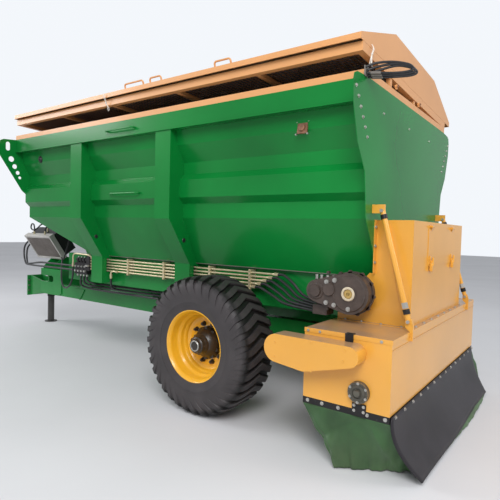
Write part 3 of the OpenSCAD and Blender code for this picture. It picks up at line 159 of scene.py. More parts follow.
def finish(name, color, rough, metallic=0.0, coat=0.0, mottle=(2.0, 0.12), grain=(220.0, 0.05),
           dust=None, wear=0.0, settled=None, shine=0.5):
    """A procedural surface: drifting colour, fine grain, dust up to a height and on upper faces.

    mottle and grain are (scale, strength), dust is (base, top, strength, colour), and settled is
    (strength, colour).
    """
    material = bpy.data.materials.new(name)
    material.use_nodes = True
    tree = material.node_tree
    link = tree.links.new
    surface = tree.nodes["Principled BSDF"]
    surface.inputs["Roughness"].default_value = rough
    surface.inputs["Metallic"].default_value = metallic
    surface.inputs["Coat Weight"].default_value = coat
    surface.inputs["Coat Roughness"].default_value = 0.12
    surface.inputs["Specular IOR Level"].default_value = shine
    place = tree.nodes.new("ShaderNodeTexCoord").outputs["Object"]
    tones = tree.nodes.new("ShaderNodeValToRGB")
    low = 1.0 - mottle[1]
    high = 1.0 + mottle[1]
    tones.color_ramp.elements[0].position = 0.3
    tones.color_ramp.elements[0].color = [c * low for c in color] + [1.0]
    tones.color_ramp.elements[1].position = 0.7
    tones.color_ramp.elements[1].color = [min(1.0, c * high) for c in color] + [1.0]
    link(noise(tree, place, mottle[0], 6.0), tones.inputs["Fac"])
    shade = tones.outputs["Color"]
    if dust:
        shade = splashed_dust(tree, place, shade, dust)
    if settled:
        shade = settled_powder(tree, place, shade, settled)
    if wear:
        shade = worn_spots(tree, place, shade, color, wear)
    link(shade, surface.inputs["Base Color"])
    relief = tree.nodes.new("ShaderNodeBump")
    relief.inputs["Strength"].default_value = grain[1]
    relief.inputs["Distance"].default_value = 0.002
    link(noise(tree, place, grain[0], 3.0), relief.inputs["Height"])
    link(relief.outputs["Normal"], surface.inputs["Normal"])
    return material


yard_dust = (0.42, 0.36, 0.29)
green_enamel = finish("green_enamel", (0.003, 0.185, 0.030), 0.24, coat=0.12, shine=0.24, mottle=(0.9, 0.18),
                      grain=(14.0, 0.006),
                      dust=(0.5, 1.2, 0.16, (0.20, 0.27, 0.17)))
dark_green_enamel = finish("dark_green_enamel", (0.005, 0.10, 0.02), 0.4, coat=0.3,
                           dust=(0.4, 1.0, 0.35, yard_dust))
tan_enamel = finish("tan_enamel", (0.66, 0.315, 0.115), 0.42, coat=0.25, mottle=(1.2, 0.06),
                    grain=(140.0, 0.04))
orange_enamel = finish("orange_enamel", (0.76, 0.36, 0.045), 0.30, coat=0.4, mottle=(1.5, 0.07),
                       grain=(120.0, 0.04), dust=(0.3, 1.0, 0.20, (0.62, 0.42, 0.20)),
                       settled=(0.95, (0.31, 0.205, 0.150)))
wheel_enamel = finish("wheel_enamel", (0.86, 0.43, 0.015), 0.30, coat=0.5, mottle=(4.0, 0.06),
                      dust=(0.2, 0.9, 0.25, (0.55, 0.36, 0.12)))
black_paint = finish("black_paint", (0.013, 0.012, 0.013), 0.42, coat=0.08, shine=0.3, mottle=(6.0, 0.3),
                     grain=(160.0, 0.15), wear=0.25)
cast_brown = finish("cast_brown", (0.060, 0.042, 0.034), 0.48, coat=0.1, mottle=(14.0, 0.3),
                    grain=(260.0, 0.35), wear=0.3)
cast_black = finish("cast_black", (0.020, 0.014, 0.010), 0.38, coat=0.2, mottle=(14.0, 0.35),
                    grain=(200.0, 0.4), wear=0.2)
bare_steel = finish("bare_steel", (0.50, 0.49, 0.46), 0.38, metallic=0.85, mottle=(12.0, 0.15),
                    grain=(300.0, 0.1))
dull_steel = finish("dull_steel", (0.20, 0.18, 0.16), 0.55, metallic=0.6, mottle=(5.0, 0.3),
                    grain=(180.0, 0.2))
pipe_zinc = finish("pipe_zinc", (0.62, 0.53, 0.34), 0.34, metallic=0.55, mottle=(20.0, 0.12))
cooler_alloy = finish("cooler_alloy", (0.52, 0.50, 0.47), 0.45, metallic=0.4, mottle=(8.0, 0.12),
                      grain=(300.0, 0.2))
fin_alloy = finish("fin_alloy", (0.27, 0.235, 0.215), 0.5, metallic=0.3, mottle=(6.0, 0.2),
                   grain=(300.0, 0.2))
hose_rubber = finish("hose_rubber", (0.016, 0.016, 0.018), 0.42, mottle=(30.0, 0.2), grain=(420.0, 0.3))
flap_rubber = finish("flap_rubber", (0.017, 0.015, 0.019), 0.44, shine=0.32, mottle=(3.0, 0.35),
                     grain=(150.0, 0.25), dust=(0.0, 0.5, 0.16, (0.12, 0.10, 0.10)))
tyre_rubber = finish("tyre_rubber", (0.036, 0.031, 0.033), 0.55, mottle=(5.0, 0.25), grain=(260.0, 0.3),
                     dust=(-0.1, 1.5, 0.32, (0.10, 0.085, 0.08)))
white_cord = finish("white_cord", (0.75, 0.72, 0.66), 0.7, mottle=(60.0, 0.15))
rust_plate = finish("rust_plate", (0.20, 0.09, 0.05), 0.55, mottle=(25.0, 0.35), wear=0.3)
jack_grey = finish("jack_grey", (0.055, 0.052, 0.050), 0.45, metallic=0.2, mottle=(7.0, 0.25), wear=0.3)
cast_bearing = finish("cast_bearing", (0.095, 0.088, 0.070), 0.42, metallic=0.3, mottle=(24.0, 0.35),
                      grain=(260.0, 0.4), wear=0.35)
brass = finish("brass", (0.62, 0.42, 0.14), 0.35, metallic=0.7, mottle=(30.0, 0.15))
mesh_wire = finish("mesh_wire", (0.16, 0.125, 0.115), 0.45, metallic=0.3, mottle=(8.0, 0.3))


def shade_grooves(material, centre, rising, falling):
    """Darkens the tread's grooves with painted shade: the rubber keeps its own colour past the lugs' tops and
    below the tread.
    """
    tree = material.node_tree
    link = tree.links.new
    surface = tree.nodes["Principled BSDF"]
    rubber = surface.inputs["Base Color"].links[0].from_socket
    offset = tree.nodes.new("ShaderNodeVectorMath")
    offset.operation = "SUBTRACT"
    offset.inputs[1].default_value = centre
    link(tree.nodes.new("ShaderNodeTexCoord").outputs["Object"], offset.inputs[0])
    flat = tree.nodes.new("ShaderNodeVectorMath")
    flat.operation = "MULTIPLY"
    flat.inputs[1].default_value = (1.0, 0.0, 1.0)
    link(offset.outputs[0], flat.inputs[0])
    radius = tree.nodes.new("ShaderNodeVectorMath")
    radius.operation = "LENGTH"
    link(flat.outputs[0], radius.inputs[0])
    shares = [stretched(tree, radius.outputs["Value"], start, end) for start, end in (rising, falling)]
    lit = combined(tree, "MAXIMUM", *shares)
    # Painted shade: a near-black colour laid into the grooves and the lugs' flanks, by radius from the axle
    painted_groove_shade = tree.nodes.new("ShaderNodeMix")
    painted_groove_shade.data_type = "RGBA"
    painted_groove_shade.inputs["A"].default_value = (0.006, 0.005, 0.005, 1.0)
    link(lit, painted_groove_shade.inputs["Factor"])
    link(rubber, painted_groove_shade.inputs["B"])
    link(painted_groove_shade.outputs["Result"], surface.inputs["Base Color"])


def woven_canvas():
    """Coated canvas: a fine plain weave, faint creases, and dust near the hem."""
    material = finish("woven_canvas", (0.030, 0.092, 0.026), 0.55, mottle=(3.5, 0.35), grain=(60.0, 0.1),
                      dust=(0.0, 0.30, 0.4, (0.15, 0.18, 0.09)))
    tree = material.node_tree
    place = tree.nodes["Texture Coordinate"].outputs["Object"]
    weave = tree.nodes.new("ShaderNodeTexWave")
    weave.inputs["Scale"].default_value = 190.0
    weave.bands_direction = "Z"
    tree.links.new(place, weave.inputs["Vector"])
    relief = tree.nodes.new("ShaderNodeBump")
    relief.inputs["Strength"].default_value = 0.12
    relief.inputs["Distance"].default_value = 0.001
    tree.links.new(weave.outputs["Fac"], relief.inputs["Height"])
    tree.links.new(tree.nodes["Bump"].outputs["Normal"], relief.inputs["Normal"])
    surface = tree.nodes["Principled BSDF"]
    tree.links.new(relief.outputs["Normal"], surface.inputs["Normal"])
    surface.inputs["Sheen Weight"].default_value = 0.12
    return material


canvas = woven_canvas()

node_finish = {
    "rim": tan_enamel, "sieve_frame": tan_enamel, "hood": tan_enamel, "hood_handles": tan_enamel,
    "housing": orange_enamel, "stay_rods": orange_enamel, "access_door": orange_enamel,
    "spreading_box": orange_enamel, "chain_cases": orange_enamel, "axle": dark_green_enamel,
    "floor_plate": dull_steel, "conveyor_shafts": bare_steel, "floor_chain": dull_steel,
    "skirt_bars": black_paint, "auger": dull_steel, "spreading_roller": dull_steel,
    "gearbox": cast_brown, "drive_motor": cast_brown, "valve_bank": black_paint,
    "steel_pipes": pipe_zinc, "oil_cooler": cooler_alloy, "jack_tube": black_paint, "jack_leg": jack_grey,
    "hoses": hose_rubber, "sieve_rods": mesh_wire}
for name, node in nodes.items():
    paint = node_finish.get(name, green_enamel)
    node.data.materials.clear()
    node.data.materials.append(paint)


# Helpers that turn a bmesh into a piece
MERGE_DISTANCE = 0.00001
SHARP_ANGLE = math.radians(35.0)


def piece(name, bm, material, body, smooth=False, replaced=()):
    """Makes the bmesh an object that rides on a body and may replace nodes."""
    bmesh.ops.remove_doubles(bm, verts=bm.verts, dist=MERGE_DISTANCE)
    bmesh.ops.recalc_face_normals(bm, faces=bm.faces)
    mesh = bpy.data.meshes.new(name)
    bm.to_mesh(mesh)
    bm.free()
    if smooth:
        mesh.shade_smooth()
        mesh.set_sharp_from_angle(angle=SHARP_ANGLE)
    mesh.materials.append(material)
    made = bpy.data.objects.new(name, mesh)
    scene.collection.objects.link(made)
    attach(made, body)
    if replaced:
        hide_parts(*replaced)
    return made


LEFT = Vector((0, 1, 0))


def side_word(side):
    return "left" if side > 0 else "right"


def spoke(degrees):
    """Unit arrow in the plane of the wheels, turned from +X towards +Z."""
    turn = math.radians(degrees)
    return Vector((math.cos(turn), 0, math.sin(turn)))


def add_block(bm, low, high, bevel=0.0):
    """Block between two corners, with its edges rounded if bevel is given."""
    size = Vector(high) - Vector(low)
    middle = (Vector(high) + Vector(low)) / 2
    cube = bmesh.ops.create_cube(bm, size=1.0,
                                 matrix=Matrix.Translation(middle) @ Matrix.Diagonal(size.to_4d()))
    if bevel:
        edges = list({e for v in cube["verts"] for e in v.link_edges})
        bmesh.ops.bevel(bm, geom=edges, offset=bevel, segments=2, affect="EDGES", profile=0.5, material=-1)
    return cube["verts"]


def add_round(bm, start, end, radius, radius_end=None, sides=16):
    """Round bar or cone between two points."""
    start = Vector(start)
    end = Vector(end)
    way = end - start
    turn = way.to_track_quat("Z", "Y").to_matrix().to_4x4()
    tip = radius if radius_end is None else radius_end
    bmesh.ops.create_cone(bm, cap_ends=True, segments=sides, radius1=radius, radius2=tip,
                          depth=way.length, matrix=Matrix.Translation((start + end) / 2) @ turn)


WASHER = 0.002


def add_bolt(bm, seat, way, radius=0.010, washer=True):
    """Hexagon head on a washer, standing on its seat along way."""
    seat = Vector(seat)
    way = Vector(way).normalized()
    if washer:
        add_round(bm, seat, seat + way * WASHER, radius * 1.45, sides=16)
    add_round(bm, seat, seat + way * (radius * 0.8 + WASHER), radius, radius * 0.94, sides=6)


def edges_within(verts):
    return [e for e in {e for v in verts for e in v.link_edges} if e.verts[0] in verts
            and e.verts[1] in verts]


def add_tube(bm, points, radius, sides=12, closed=False):
    """Round tube swept along points, either closed in a ring or capped at both ends."""
    rings = []
    count = len(points)
    points = [Vector(p) for p in points]
    normal = None
    for i, point in enumerate(points):
        ahead = points[(i + 1) % count] if closed or i < count - 1 else point
        behind = points[i - 1] if closed or i > 0 else point
        way = (ahead - behind).normalized()
        if normal is None:
            normal = way.orthogonal().normalized()
        normal = (normal - way * normal.dot(way)).normalized()
        ring = bmesh.ops.create_circle(bm, segments=sides, radius=radius)["verts"]
        side = way.cross(normal)
        matrix = Matrix((normal, side, way)).transposed().to_4x4()
        bmesh.ops.transform(bm, matrix=Matrix.Translation(point) @ matrix, verts=ring)
        rings.append(ring)
    pairs = list(zip(rings, rings[1:])) + ([(rings[-1], rings[0])] if closed else [])
    for one, two in pairs:
        bmesh.ops.bridge_loops(bm, edges=edges_within(one) + edges_within(two))
    if not closed:
        for ring in (rings[0], rings[-1]):
            bmesh.ops.edgeloop_fill(bm, edges=edges_within(ring))


def smooth_path(points, steps=10):
    """A Catmull-Rom curve through the points."""
    points = [Vector(p) for p in points]
    padded = [points[0] * 2 - points[1]] + points + [points[-1] * 2 - points[-2]]
    path = []
    for i in range(1, len(padded) - 2):
        a, b, c, d = padded[i - 1:i + 3]
        for k in range(steps):
            t = k / steps
            square = (2 * a - 5 * b + 4 * c - d) * t ** 2
            cube = (3 * b - a - 3 * c + d) * t ** 3
            path.append(0.5 * (2 * b + (c - a) * t + square + cube))
    path.append(points[-1])
    return path


def spun(bm, profile, centre, steps):
    """Turns a closed (radius, across) profile about the wheel's axis."""
    ring = [bm.verts.new((centre[0] + r, centre[1] + y, centre[2])) for r, y in profile]
    edges = [bm.edges.new((ring[i], ring[(i + 1) % len(ring)])) for i in range(len(ring))]
    bmesh.ops.spin(bm, geom=ring + edges, cent=centre, axis=(0, 1, 0), angle=2 * math.pi, steps=steps,
                   use_merge=True)


# Tyres and wheels
wheel_low, wheel_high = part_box("wheel_left")
WHEEL_X, TRACK, WHEEL_Z = (wheel_low + wheel_high) / 2
# Painted shade in the tread's grooves, between the groove floor and the lugs' tops
shade_grooves(tyre_rubber, (WHEEL_X, 0.0, WHEEL_Z), (0.566, 0.582), (0.556, 0.520))
LUGS = 36
LUG_TAPER = 0.86
TYRE_STEPS = 108
WHEEL_NUTS = 10
NUT_STEP = 360.0 / WHEEL_NUTS
NUT_CIRCLE = 0.1675
# Lug stations from the middle of the tread out: across, base radius, top across, top radius, half width
# and lag in degrees
LUG_LINE = [
    (0.000, 0.556, 0.000, 0.5875, 0.031, 0.0),
    (0.060, 0.556, 0.060, 0.5870, 0.031, 2.6),
    (0.118, 0.554, 0.119, 0.5850, 0.031, 5.1),
    (0.160, 0.548, 0.163, 0.5780, 0.030, 6.6),
    (0.190, 0.535, 0.198, 0.5600, 0.027, 7.4),
    (0.205, 0.512, 0.2155, 0.5250, 0.022, 8.4),
    (0.212, 0.484, 0.2190, 0.4880, 0.016, 10.2),
    (0.215, 0.456, 0.2195, 0.4580, 0.011, 12.4),
    (0.216, 0.432, 0.2180, 0.4330, 0.006, 14.6)]


def put_on_axle(bm, side):
    """Takes a wheel's piece from the origin to its end of the axle, mirrored on the right."""
    if side < 0:
        bmesh.ops.scale(bm, vec=(1, -1, 1), verts=bm.verts)
    bmesh.ops.translate(bm, vec=(WHEEL_X, side * TRACK, WHEEL_Z), verts=bm.verts)


def tyre(name, side, node):
    """Carcass with its bead lines, and V-shaped lugs all round."""
    bm = bmesh.new()
    wall = [(0.288, 0.176), (0.300, 0.196), (0.316, 0.203), (0.330, 0.2035), (0.345, 0.208),
            (0.372, 0.214), (0.372, 0.2155), (0.378, 0.2160), (0.381, 0.2150), (0.420, 0.2185),
            (0.462, 0.217), (0.502, 0.211), (0.532, 0.198), (0.552, 0.172), (0.560, 0.12), (0.562, 0.05)]
    inside = [(0.32, -0.160), (0.32, 0.160)]
    spun(bm, wall + [(r, -y) for r, y in reversed(wall)] + inside, (0, 0, 0), TYRE_STEPS)
    # One lug, as a strip bent over the tread and raised
    stations = [(-a, r, -b, s, w, g) for a, r, b, s, w, g in reversed(LUG_LINE[1:])] + LUG_LINE
    lug = bmesh.new()
    bmesh.ops.create_grid(lug, x_segments=len(stations) - 1, y_segments=1, size=1.0)
    columns = sorted({round(v.co.x, 5) for v in lug.verts})
    where = {}
    for v in lug.verts:
        where[v] = (columns.index(round(v.co.x, 5)), 1 if v.co.y > 0 else -1)
    raised = bmesh.ops.extrude_face_region(lug, geom=list(lug.faces))
    tops = [g for g in raised["geom"] if isinstance(g, bmesh.types.BMVert)]
    for v in tops:
        where[v] = (columns.index(round(v.co.x, 5)), 1 if v.co.y > 0 else -1)
    for v in lug.verts:
        column, edge = where[v]
        across, base, top_across, top, width, lag = stations[column]
        radius = top if v in tops else base
        shift = top_across if v in tops else across
        half = width * (LUG_TAPER if v in tops else 1.0)
        angle = math.radians(lag) + edge * half / radius
        v.co = (radius * math.cos(angle), shift, radius * math.sin(angle))
    lug_mesh = bpy.data.meshes.new("lug")
    lug.to_mesh(lug_mesh)
    lug.free()
    for i in range(LUGS):
        before = len(bm.verts)
        bm.from_mesh(lug_mesh)
        bm.verts.ensure_lookup_table()
        added = bm.verts[before:]
        turn = Matrix.Rotation(i * 2 * math.pi / LUGS, 3, "Y")
        bmesh.ops.rotate(bm, verts=added, cent=(0, 0, 0), matrix=turn)
    bpy.data.meshes.remove(lug_mesh)
    put_on_axle(bm, side)
    return piece(name, bm, tyre_rubber, "wheel_" + side_word(side), smooth=True,
                 replaced=(node,))


def wheel_dish(name, side, node):
    """Pressed wheel with its rim, drawn as one closed outline from the outer flange round."""
    bm = bmesh.new()
    profile = [
        (0.306, 0.196), (0.3045, 0.200), (0.300, 0.200), (0.296, 0.197), (0.292, 0.186), (0.284, 0.178),
        (0.280, 0.160), (0.2785, 0.110), (0.270, 0.092), (0.258, 0.080), (0.254, 0.070), (0.2535, 0.050),
        (0.248, 0.040), (0.240, 0.032), (0.236, 0.020), (0.234, 0.006), (0.222, -0.006), (0.205, -0.010),
        (0.190, -0.008), (0.150, -0.007), (0.142, -0.007), (0.142, -0.023), (0.205, -0.026),
        (0.238, -0.018), (0.246, -0.030), (0.248, -0.060), (0.262, -0.078), (0.278, -0.100),
        (0.280, -0.170), (0.292, -0.186), (0.300, -0.200), (0.306, -0.196), (0.302, -0.180),
        (0.288, -0.170), (0.286, -0.090), (0.262, -0.060), (0.258, -0.030), (0.258, 0.030),
        (0.270, 0.070), (0.286, 0.096), (0.288, 0.170), (0.301, 0.184)]
    spun(bm, profile, (0, 0, 0), 96)
    put_on_axle(bm, side)
    return piece(name, bm, wheel_enamel, "wheel_" + side_word(side), smooth=True,
                 replaced=(node,))


def wheel_hub(name, side):
    """Cast hub with its stepped nose, ten nuts and the flange ribs between them."""
    bm = bmesh.new()
    nose = [(0.001, -0.04), (0.140, -0.04), (0.140, 0.006), (0.136, 0.016), (0.128, 0.030),
            (0.118, 0.050), (0.102, 0.074), (0.086, 0.090), (0.083, 0.112), (0.078, 0.118),
            (0.076, 0.124), (0.072, 0.150), (0.066, 0.156), (0.060, 0.160), (0.056, 0.172),
            (0.001, 0.172)]
    spun(bm, nose, (0, 0, 0), 48)
    for i in range(WHEEL_NUTS):
        # Rib on the cone between two nuts, with its foot on the flange
        u = spoke(NUT_STEP * (i + 0.5))
        add_round(bm, u * 0.128 - LEFT * 0.006, u * 0.075 + LEFT * 0.088, 0.016, 0.010, sides=8)
        add_round(bm, u * 0.124 - LEFT * 0.010, u * 0.124 + LEFT * 0.034, 0.024, 0.019, sides=12)
    for i in range(WHEEL_NUTS):
        # Washer, nut and the stud's end
        seat = spoke(NUT_STEP * i) * NUT_CIRCLE
        add_round(bm, seat - LEFT * 0.008, seat - LEFT * 0.002, 0.0215, sides=20)
        add_round(bm, seat - LEFT * 0.002, seat + LEFT * 0.020, 0.019, 0.018, sides=6)
        add_round(bm, seat + LEFT * 0.018, seat + LEFT * 0.032, 0.011, sides=12)
    put_on_axle(bm, side)
    return piece(name, bm, cast_black, "wheel_" + side_word(side), smooth=True)


def hub_cap(name, side):
    """Pale ring round the plain cap plate on the hub's end."""
    bm = bmesh.new()
    spun(bm, [(0.037, 0.172), (0.046, 0.172), (0.047, 0.175), (0.044, 0.178), (0.038, 0.177)], (0, 0, 0), 40)
    put_on_axle(bm, side)
    return piece(name, bm, bare_steel, "wheel_" + side_word(side), smooth=True)


for side in (1, -1):
    word = side_word(side)
    tyre("lugged_tyre_" + word, side, "tyre_" + word)
    wheel_dish("wheel_dish_" + word, side, "wheel_" + word)
    wheel_hub("wheel_hub_" + word, side)
    hub_cap("hub_cap_" + word, side)


# Spreading box: its rear, its front, half its width and the height of its lid
box_low, box_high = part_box("spreading_box")
BOX_REAR = box_low.x
BOX_FRONT = box_high.x
BOX_MIDDLE = (BOX_REAR + BOX_FRONT) / 2
BOX_HALF = box_high.y
BOX_TOP = box_high.z

# Canvas skirt and rubber flap: height of the clamped edge and the drop to the hem
SKIRT_TOP = 0.381
SKIRT_DROP = 0.371
FLAP_TOP = 0.424
FLAP_DROP = 0.396
# Corners as (x, y), from the front left one over the rear: at the clamp bars and at the hem
SKIRT_CORNERS = [(-2.434, 1.247), (-3.046, 1.247), (-3.046, -1.247), (-2.434, -1.247)]
HEM_CORNERS = [(-2.703, 1.262), (-3.117, 1.012), (-3.165, -1.195), (-2.697, -1.255)]
# Grid columns at which the skirt turns a corner: left, rear, right and front stretch
SKIRT_COLUMNS = [0, 40, 130, 170, 260]
SKIRT_ROWS = 28
REAR_STRETCH = 1
HEM_SPREAD = 0.115


def fold_depth(u, v):
    """Soft folds that grow towards the hem, and creases drawn slantwise from the bolts."""
    folds = (0.010 * math.sin(23.0 * u) + 0.006 * math.sin(51.0 * u + 1.3)) * v ** 1.3
    ridge = 1.0 - abs(math.sin(4.4 * u + 2.1 * v))
    cross_ridge = 1.0 - abs(math.sin(2.9 * u - 2.6 * v + 0.8))
    creases = 0.030 * ridge ** 2.5 - 0.022 * cross_ridge ** 3
    return folds + creases * math.sin(math.pi * v ** 0.8)


def canvas_skirt():
    """Cloth that hangs once round the box, and lies out on the ground behind the flap."""
    bm = bmesh.new()
    bmesh.ops.create_grid(bm, x_segments=SKIRT_COLUMNS[-1], y_segments=SKIRT_ROWS, size=1.0)
    for v in bm.verts:
        i = round((v.co.x + 1) / 2 * SKIRT_COLUMNS[-1])
        t = (1 - v.co.y) / 2
        leg = max(k for k in range(4) if i >= SKIRT_COLUMNS[k])
        part = (i - SKIRT_COLUMNS[leg]) / (SKIRT_COLUMNS[leg + 1] - SKIRT_COLUMNS[leg])
        a = Vector(SKIRT_CORNERS[leg]).lerp(Vector(SKIRT_CORNERS[(leg + 1) % 4]), part)
        b = Vector(HEM_CORNERS[leg]).lerp(Vector(HEM_CORNERS[(leg + 1) % 4]), part)
        outward = Vector((a.x - BOX_MIDDLE, a.y)).normalized()
        # Behind the flap the cloth hangs closer to the box, and its hem spreads out on the ground
        behind = leg == REAR_STRETCH
        rear = max(math.sin(math.pi * part), 0.0) ** 0.4 if behind else 0.0
        point = a.lerp(b, t ** (0.92 + 0.7 * rear))
        bulge = 0.028 * math.sin(math.pi * t) * math.sin(math.pi * part) * (0.1 if behind else 1.0)
        fold = fold_depth(point.y * 1.1 + point.x * 1.7, t)
        point += outward * (bulge + fold * (1.0 - 0.7 * rear))
        spread = min(max((t - 0.84) / 0.16, 0.0), 1.0)
        point.x -= HEM_SPREAD * rear * spread * spread * (3.0 - 2.0 * spread)
        z = SKIRT_TOP - t * SKIRT_DROP + 0.006 * math.sin(9.0 * point.y + 2.0 * point.x) * t
        v.co = (point.x, point.y, max(z, 0.004))
    made = piece("canvas_skirt_cloth", bm, canvas, "root",
                 smooth=True, replaced=("canvas_skirt",))
    thick = made.modifiers.new("cloth", "SOLIDIFY")
    thick.thickness = 0.004
    thick.offset = 0.0
    return made


def rubber_flap():
    """Sheet that hangs behind the skirt and swings out at its lower edge, with its corners cut in."""
    bm = bmesh.new()
    bmesh.ops.create_grid(bm, x_segments=60, y_segments=16, size=1.0)
    for v in bm.verts:
        part = (v.co.x + 1) / 2
        t = (1 - v.co.y) / 2
        y_top = 1.235 - part * 2.42
        y_hem = 1.141 - part * 2.164
        left_bow = 0.035 * math.sin(math.pi * t ** 0.8) * (1 - part) ** 3
        y = y_top + (y_hem - y_top) * t ** 1.6 + left_bow
        x = -3.056 - 0.008 * t - 0.172 * t ** 1.9 - 0.006 * math.sin(4.0 * y + 0.6) * t
        z = FLAP_TOP - FLAP_DROP * t
        v.co = (x, y, z)
    made = piece("rubber_flap_sheet", bm, flap_rubber, "root",
                 smooth=True, replaced=("rubber_flap",))
    thick = made.modifiers.new("sheet", "SOLIDIFY")
    thick.thickness = 0.010
    thick.offset = 0.0
    return made


canvas_skirt()
rubber_flap()


SKIRT_BOLT_X = (-2.47, -2.58, -2.70, -2.82, -2.90, -3.02)
SKIRT_BOLT_Z = 0.406
FLAP_BOLTS = 14
FLAP_BOLT_PITCH = 0.181
FRONT_BOLTS = 9
FRONT_BOLT_PITCH = 0.275


def skirt_bolts():
    """Bolt heads along the clamp bars, on all four sides of the box."""
    bm = bmesh.new()
    for x in SKIRT_BOLT_X:
        for s in (1, -1):
            add_bolt(bm, (x, s * BOX_HALF, SKIRT_BOLT_Z), (0, s, 0), 0.009)
    for i in range(FLAP_BOLTS):
        add_bolt(bm, (BOX_REAR - 0.014, 1.18 - i * FLAP_BOLT_PITCH, 0.412), (-1, 0, 0), 0.009)
    for i in range(FRONT_BOLTS):
        add_bolt(bm, (BOX_FRONT, 1.1 - i * FRONT_BOLT_PITCH, SKIRT_BOLT_Z), (1, 0, 0), 0.009)
    return piece("skirt_bolts", bm, bare_steel, "root")


skirt_bolts()


def box_trim():
    """Folded lips of the lid, the seam under the rear lip and the foot flange of the housing."""
    bm = bmesh.new()
    for s in (1, -1):
        low, high = sorted((s * (BOX_HALF - 0.001), s * (BOX_HALF + 0.003)))
        add_block(bm, (BOX_REAR - 0.002, low, BOX_TOP - 0.028), (BOX_FRONT + 0.002, high, BOX_TOP + 0.003),
                  0.001)
    add_block(bm, (BOX_REAR - 0.003, -BOX_HALF, BOX_TOP - 0.026),
              (BOX_REAR + 0.001, -0.762, BOX_TOP + 0.003), 0.001)
    add_block(bm, (BOX_REAR - 0.003, 0.762, BOX_TOP - 0.026), (BOX_REAR + 0.001, BOX_HALF, BOX_TOP + 0.003),
              0.001)
    # Seam under the rear lip, and the flange between the box and the housing
    add_block(bm, (BOX_REAR - 0.005, -BOX_HALF, 0.842), (BOX_REAR, BOX_HALF, 0.848), 0.001)
    add_block(bm, (BOX_REAR, -0.80, BOX_TOP), (BOX_REAR + 0.044, 0.80, BOX_TOP + 0.004))
    # Foot flange at the housing's sides
    for s in (1, -1):
        low, high = sorted((s * 0.760, s * 0.800))
        add_block(bm, (-3.005, low, BOX_TOP), (-2.460, high, BOX_TOP + 0.004))
    return piece("box_folds", bm, orange_enamel, "root")


def box_bolts():
    """Bolts in the housing's flanges and along the lid's sides."""
    bm = bmesh.new()
    for i in range(8):
        add_bolt(bm, (-3.027, 0.70 - i * 0.20, BOX_TOP + 0.004), (0, 0, 1), 0.009)
    for s in (1, -1):
        for x in (-2.95, -2.80, -2.65, -2.52):
            add_bolt(bm, (x, s * 0.782, BOX_TOP + 0.004), (0, 0, 1), 0.008)
        for z in (1.62, 1.48, 1.36):
            add_bolt(bm, (-2.737, s * 0.785, z), (-1, 0, 0), 0.010)
        for x in (-2.46, -2.55, -2.98):
            add_bolt(bm, (x, s * 1.252, 0.893), (0, s, 0), 0.007)
    return piece("box_bolts", bm, bare_steel, "root")


roller_low, roller_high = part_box("spreading_roller")
ROLLER = (roller_low + roller_high) / 2
BEARING_BOLTS = 6
BEARING_STEP = 360 / BEARING_BOLTS


def roller_bearing(side):
    """Cast flange bearing: ribbed ring, six bolts, cap and shaft end."""
    bm = bmesh.new()
    y0 = side * BOX_HALF
    centre = Vector((ROLLER.x, y0, ROLLER.z))
    out = Vector((0, side, 0))
    profile = [(0.001, 0.0), (0.0715, 0.0), (0.0715, 0.027), (0.069, 0.0305), (0.052, 0.0305),
               (0.050, 0.036), (0.043, 0.039),
               (0.034, 0.039), (0.032, 0.033), (0.024, 0.033), (0.022, 0.052), (0.020, 0.055), (0.001, 0.055)]
    bolts = bmesh.new()
    spun(bm, [(r, y * side) for r, y in profile], (centre.x, y0, centre.z), 48)
    for i in range(BEARING_BOLTS):
        seat = centre + out * 0.030 + spoke(BEARING_STEP * (i + 0.5)) * 0.0605
        add_bolt(bolts, seat, out, 0.0065)
        foot = centre + out * 0.031
        rib = spoke(BEARING_STEP * i)
        add_round(bm, foot + rib * 0.050, foot + rib * 0.067, 0.004, sides=8)
    word = side_word(side)
    for x in (-2.880, -2.815):
        for z in (0.421, 0.455):
            add_bolt(bolts, (x, side * (BOX_HALF + 0.010), z), out, 0.007)
    piece("bearing_bolts_" + word, bolts, bare_steel, "root")
    return piece("roller_bearing_" + word, bm, cast_bearing, "root", smooth=True)


def strap(side):
    """Foot plate at the clamp bar, and a hook plate over the box's top edge."""
    bm = bmesh.new()
    near, far = sorted((side * BOX_HALF, side * (BOX_HALF + 0.010)))
    add_block(bm, (-2.895, near, 0.385), (-2.800, far, 0.470), 0.002)
    # Hook plate over the box's top edge
    near, far = sorted((side * (BOX_HALF - 0.030), side * (BOX_HALF + 0.012)))
    add_block(bm, (-2.794, near, 0.9085), (-2.736, far, 0.9145), 0.002)
    near, far = sorted((side * (BOX_HALF + 0.001), side * (BOX_HALF + 0.0105)))
    add_block(bm, (-2.7935, near, 0.858), (-2.7365, far, 0.9120), 0.002)
    return piece("box_strap_" + side_word(side), bm, black_paint, "root")


box_trim()
box_bolts()
for side in (1, -1):
    roller_bearing(side)
    strap(side)


def chain_case_trim():
    """Studs on the covers of both chain cases."""
    bm = bmesh.new()
    for s in (1, -1):
        for x, z in ((-2.27, 0.80), (-2.27, 0.70), (-2.55, 0.845), (-2.79, 0.83), (-2.56, 0.655),
                     (-2.78, 0.76)):
            add_round(bm, (x, s * 1.384, z), (x, s * 1.388, z), 0.008, sides=12)
    return piece("chain_case_studs", bm, orange_enamel, "root")


chain_case_trim()

# Gearbox, motor and rear door
GEAR = Vector((-2.615, 0.950, 1.130))
SMALL = Vector((-2.350, 0.950, 1.130))


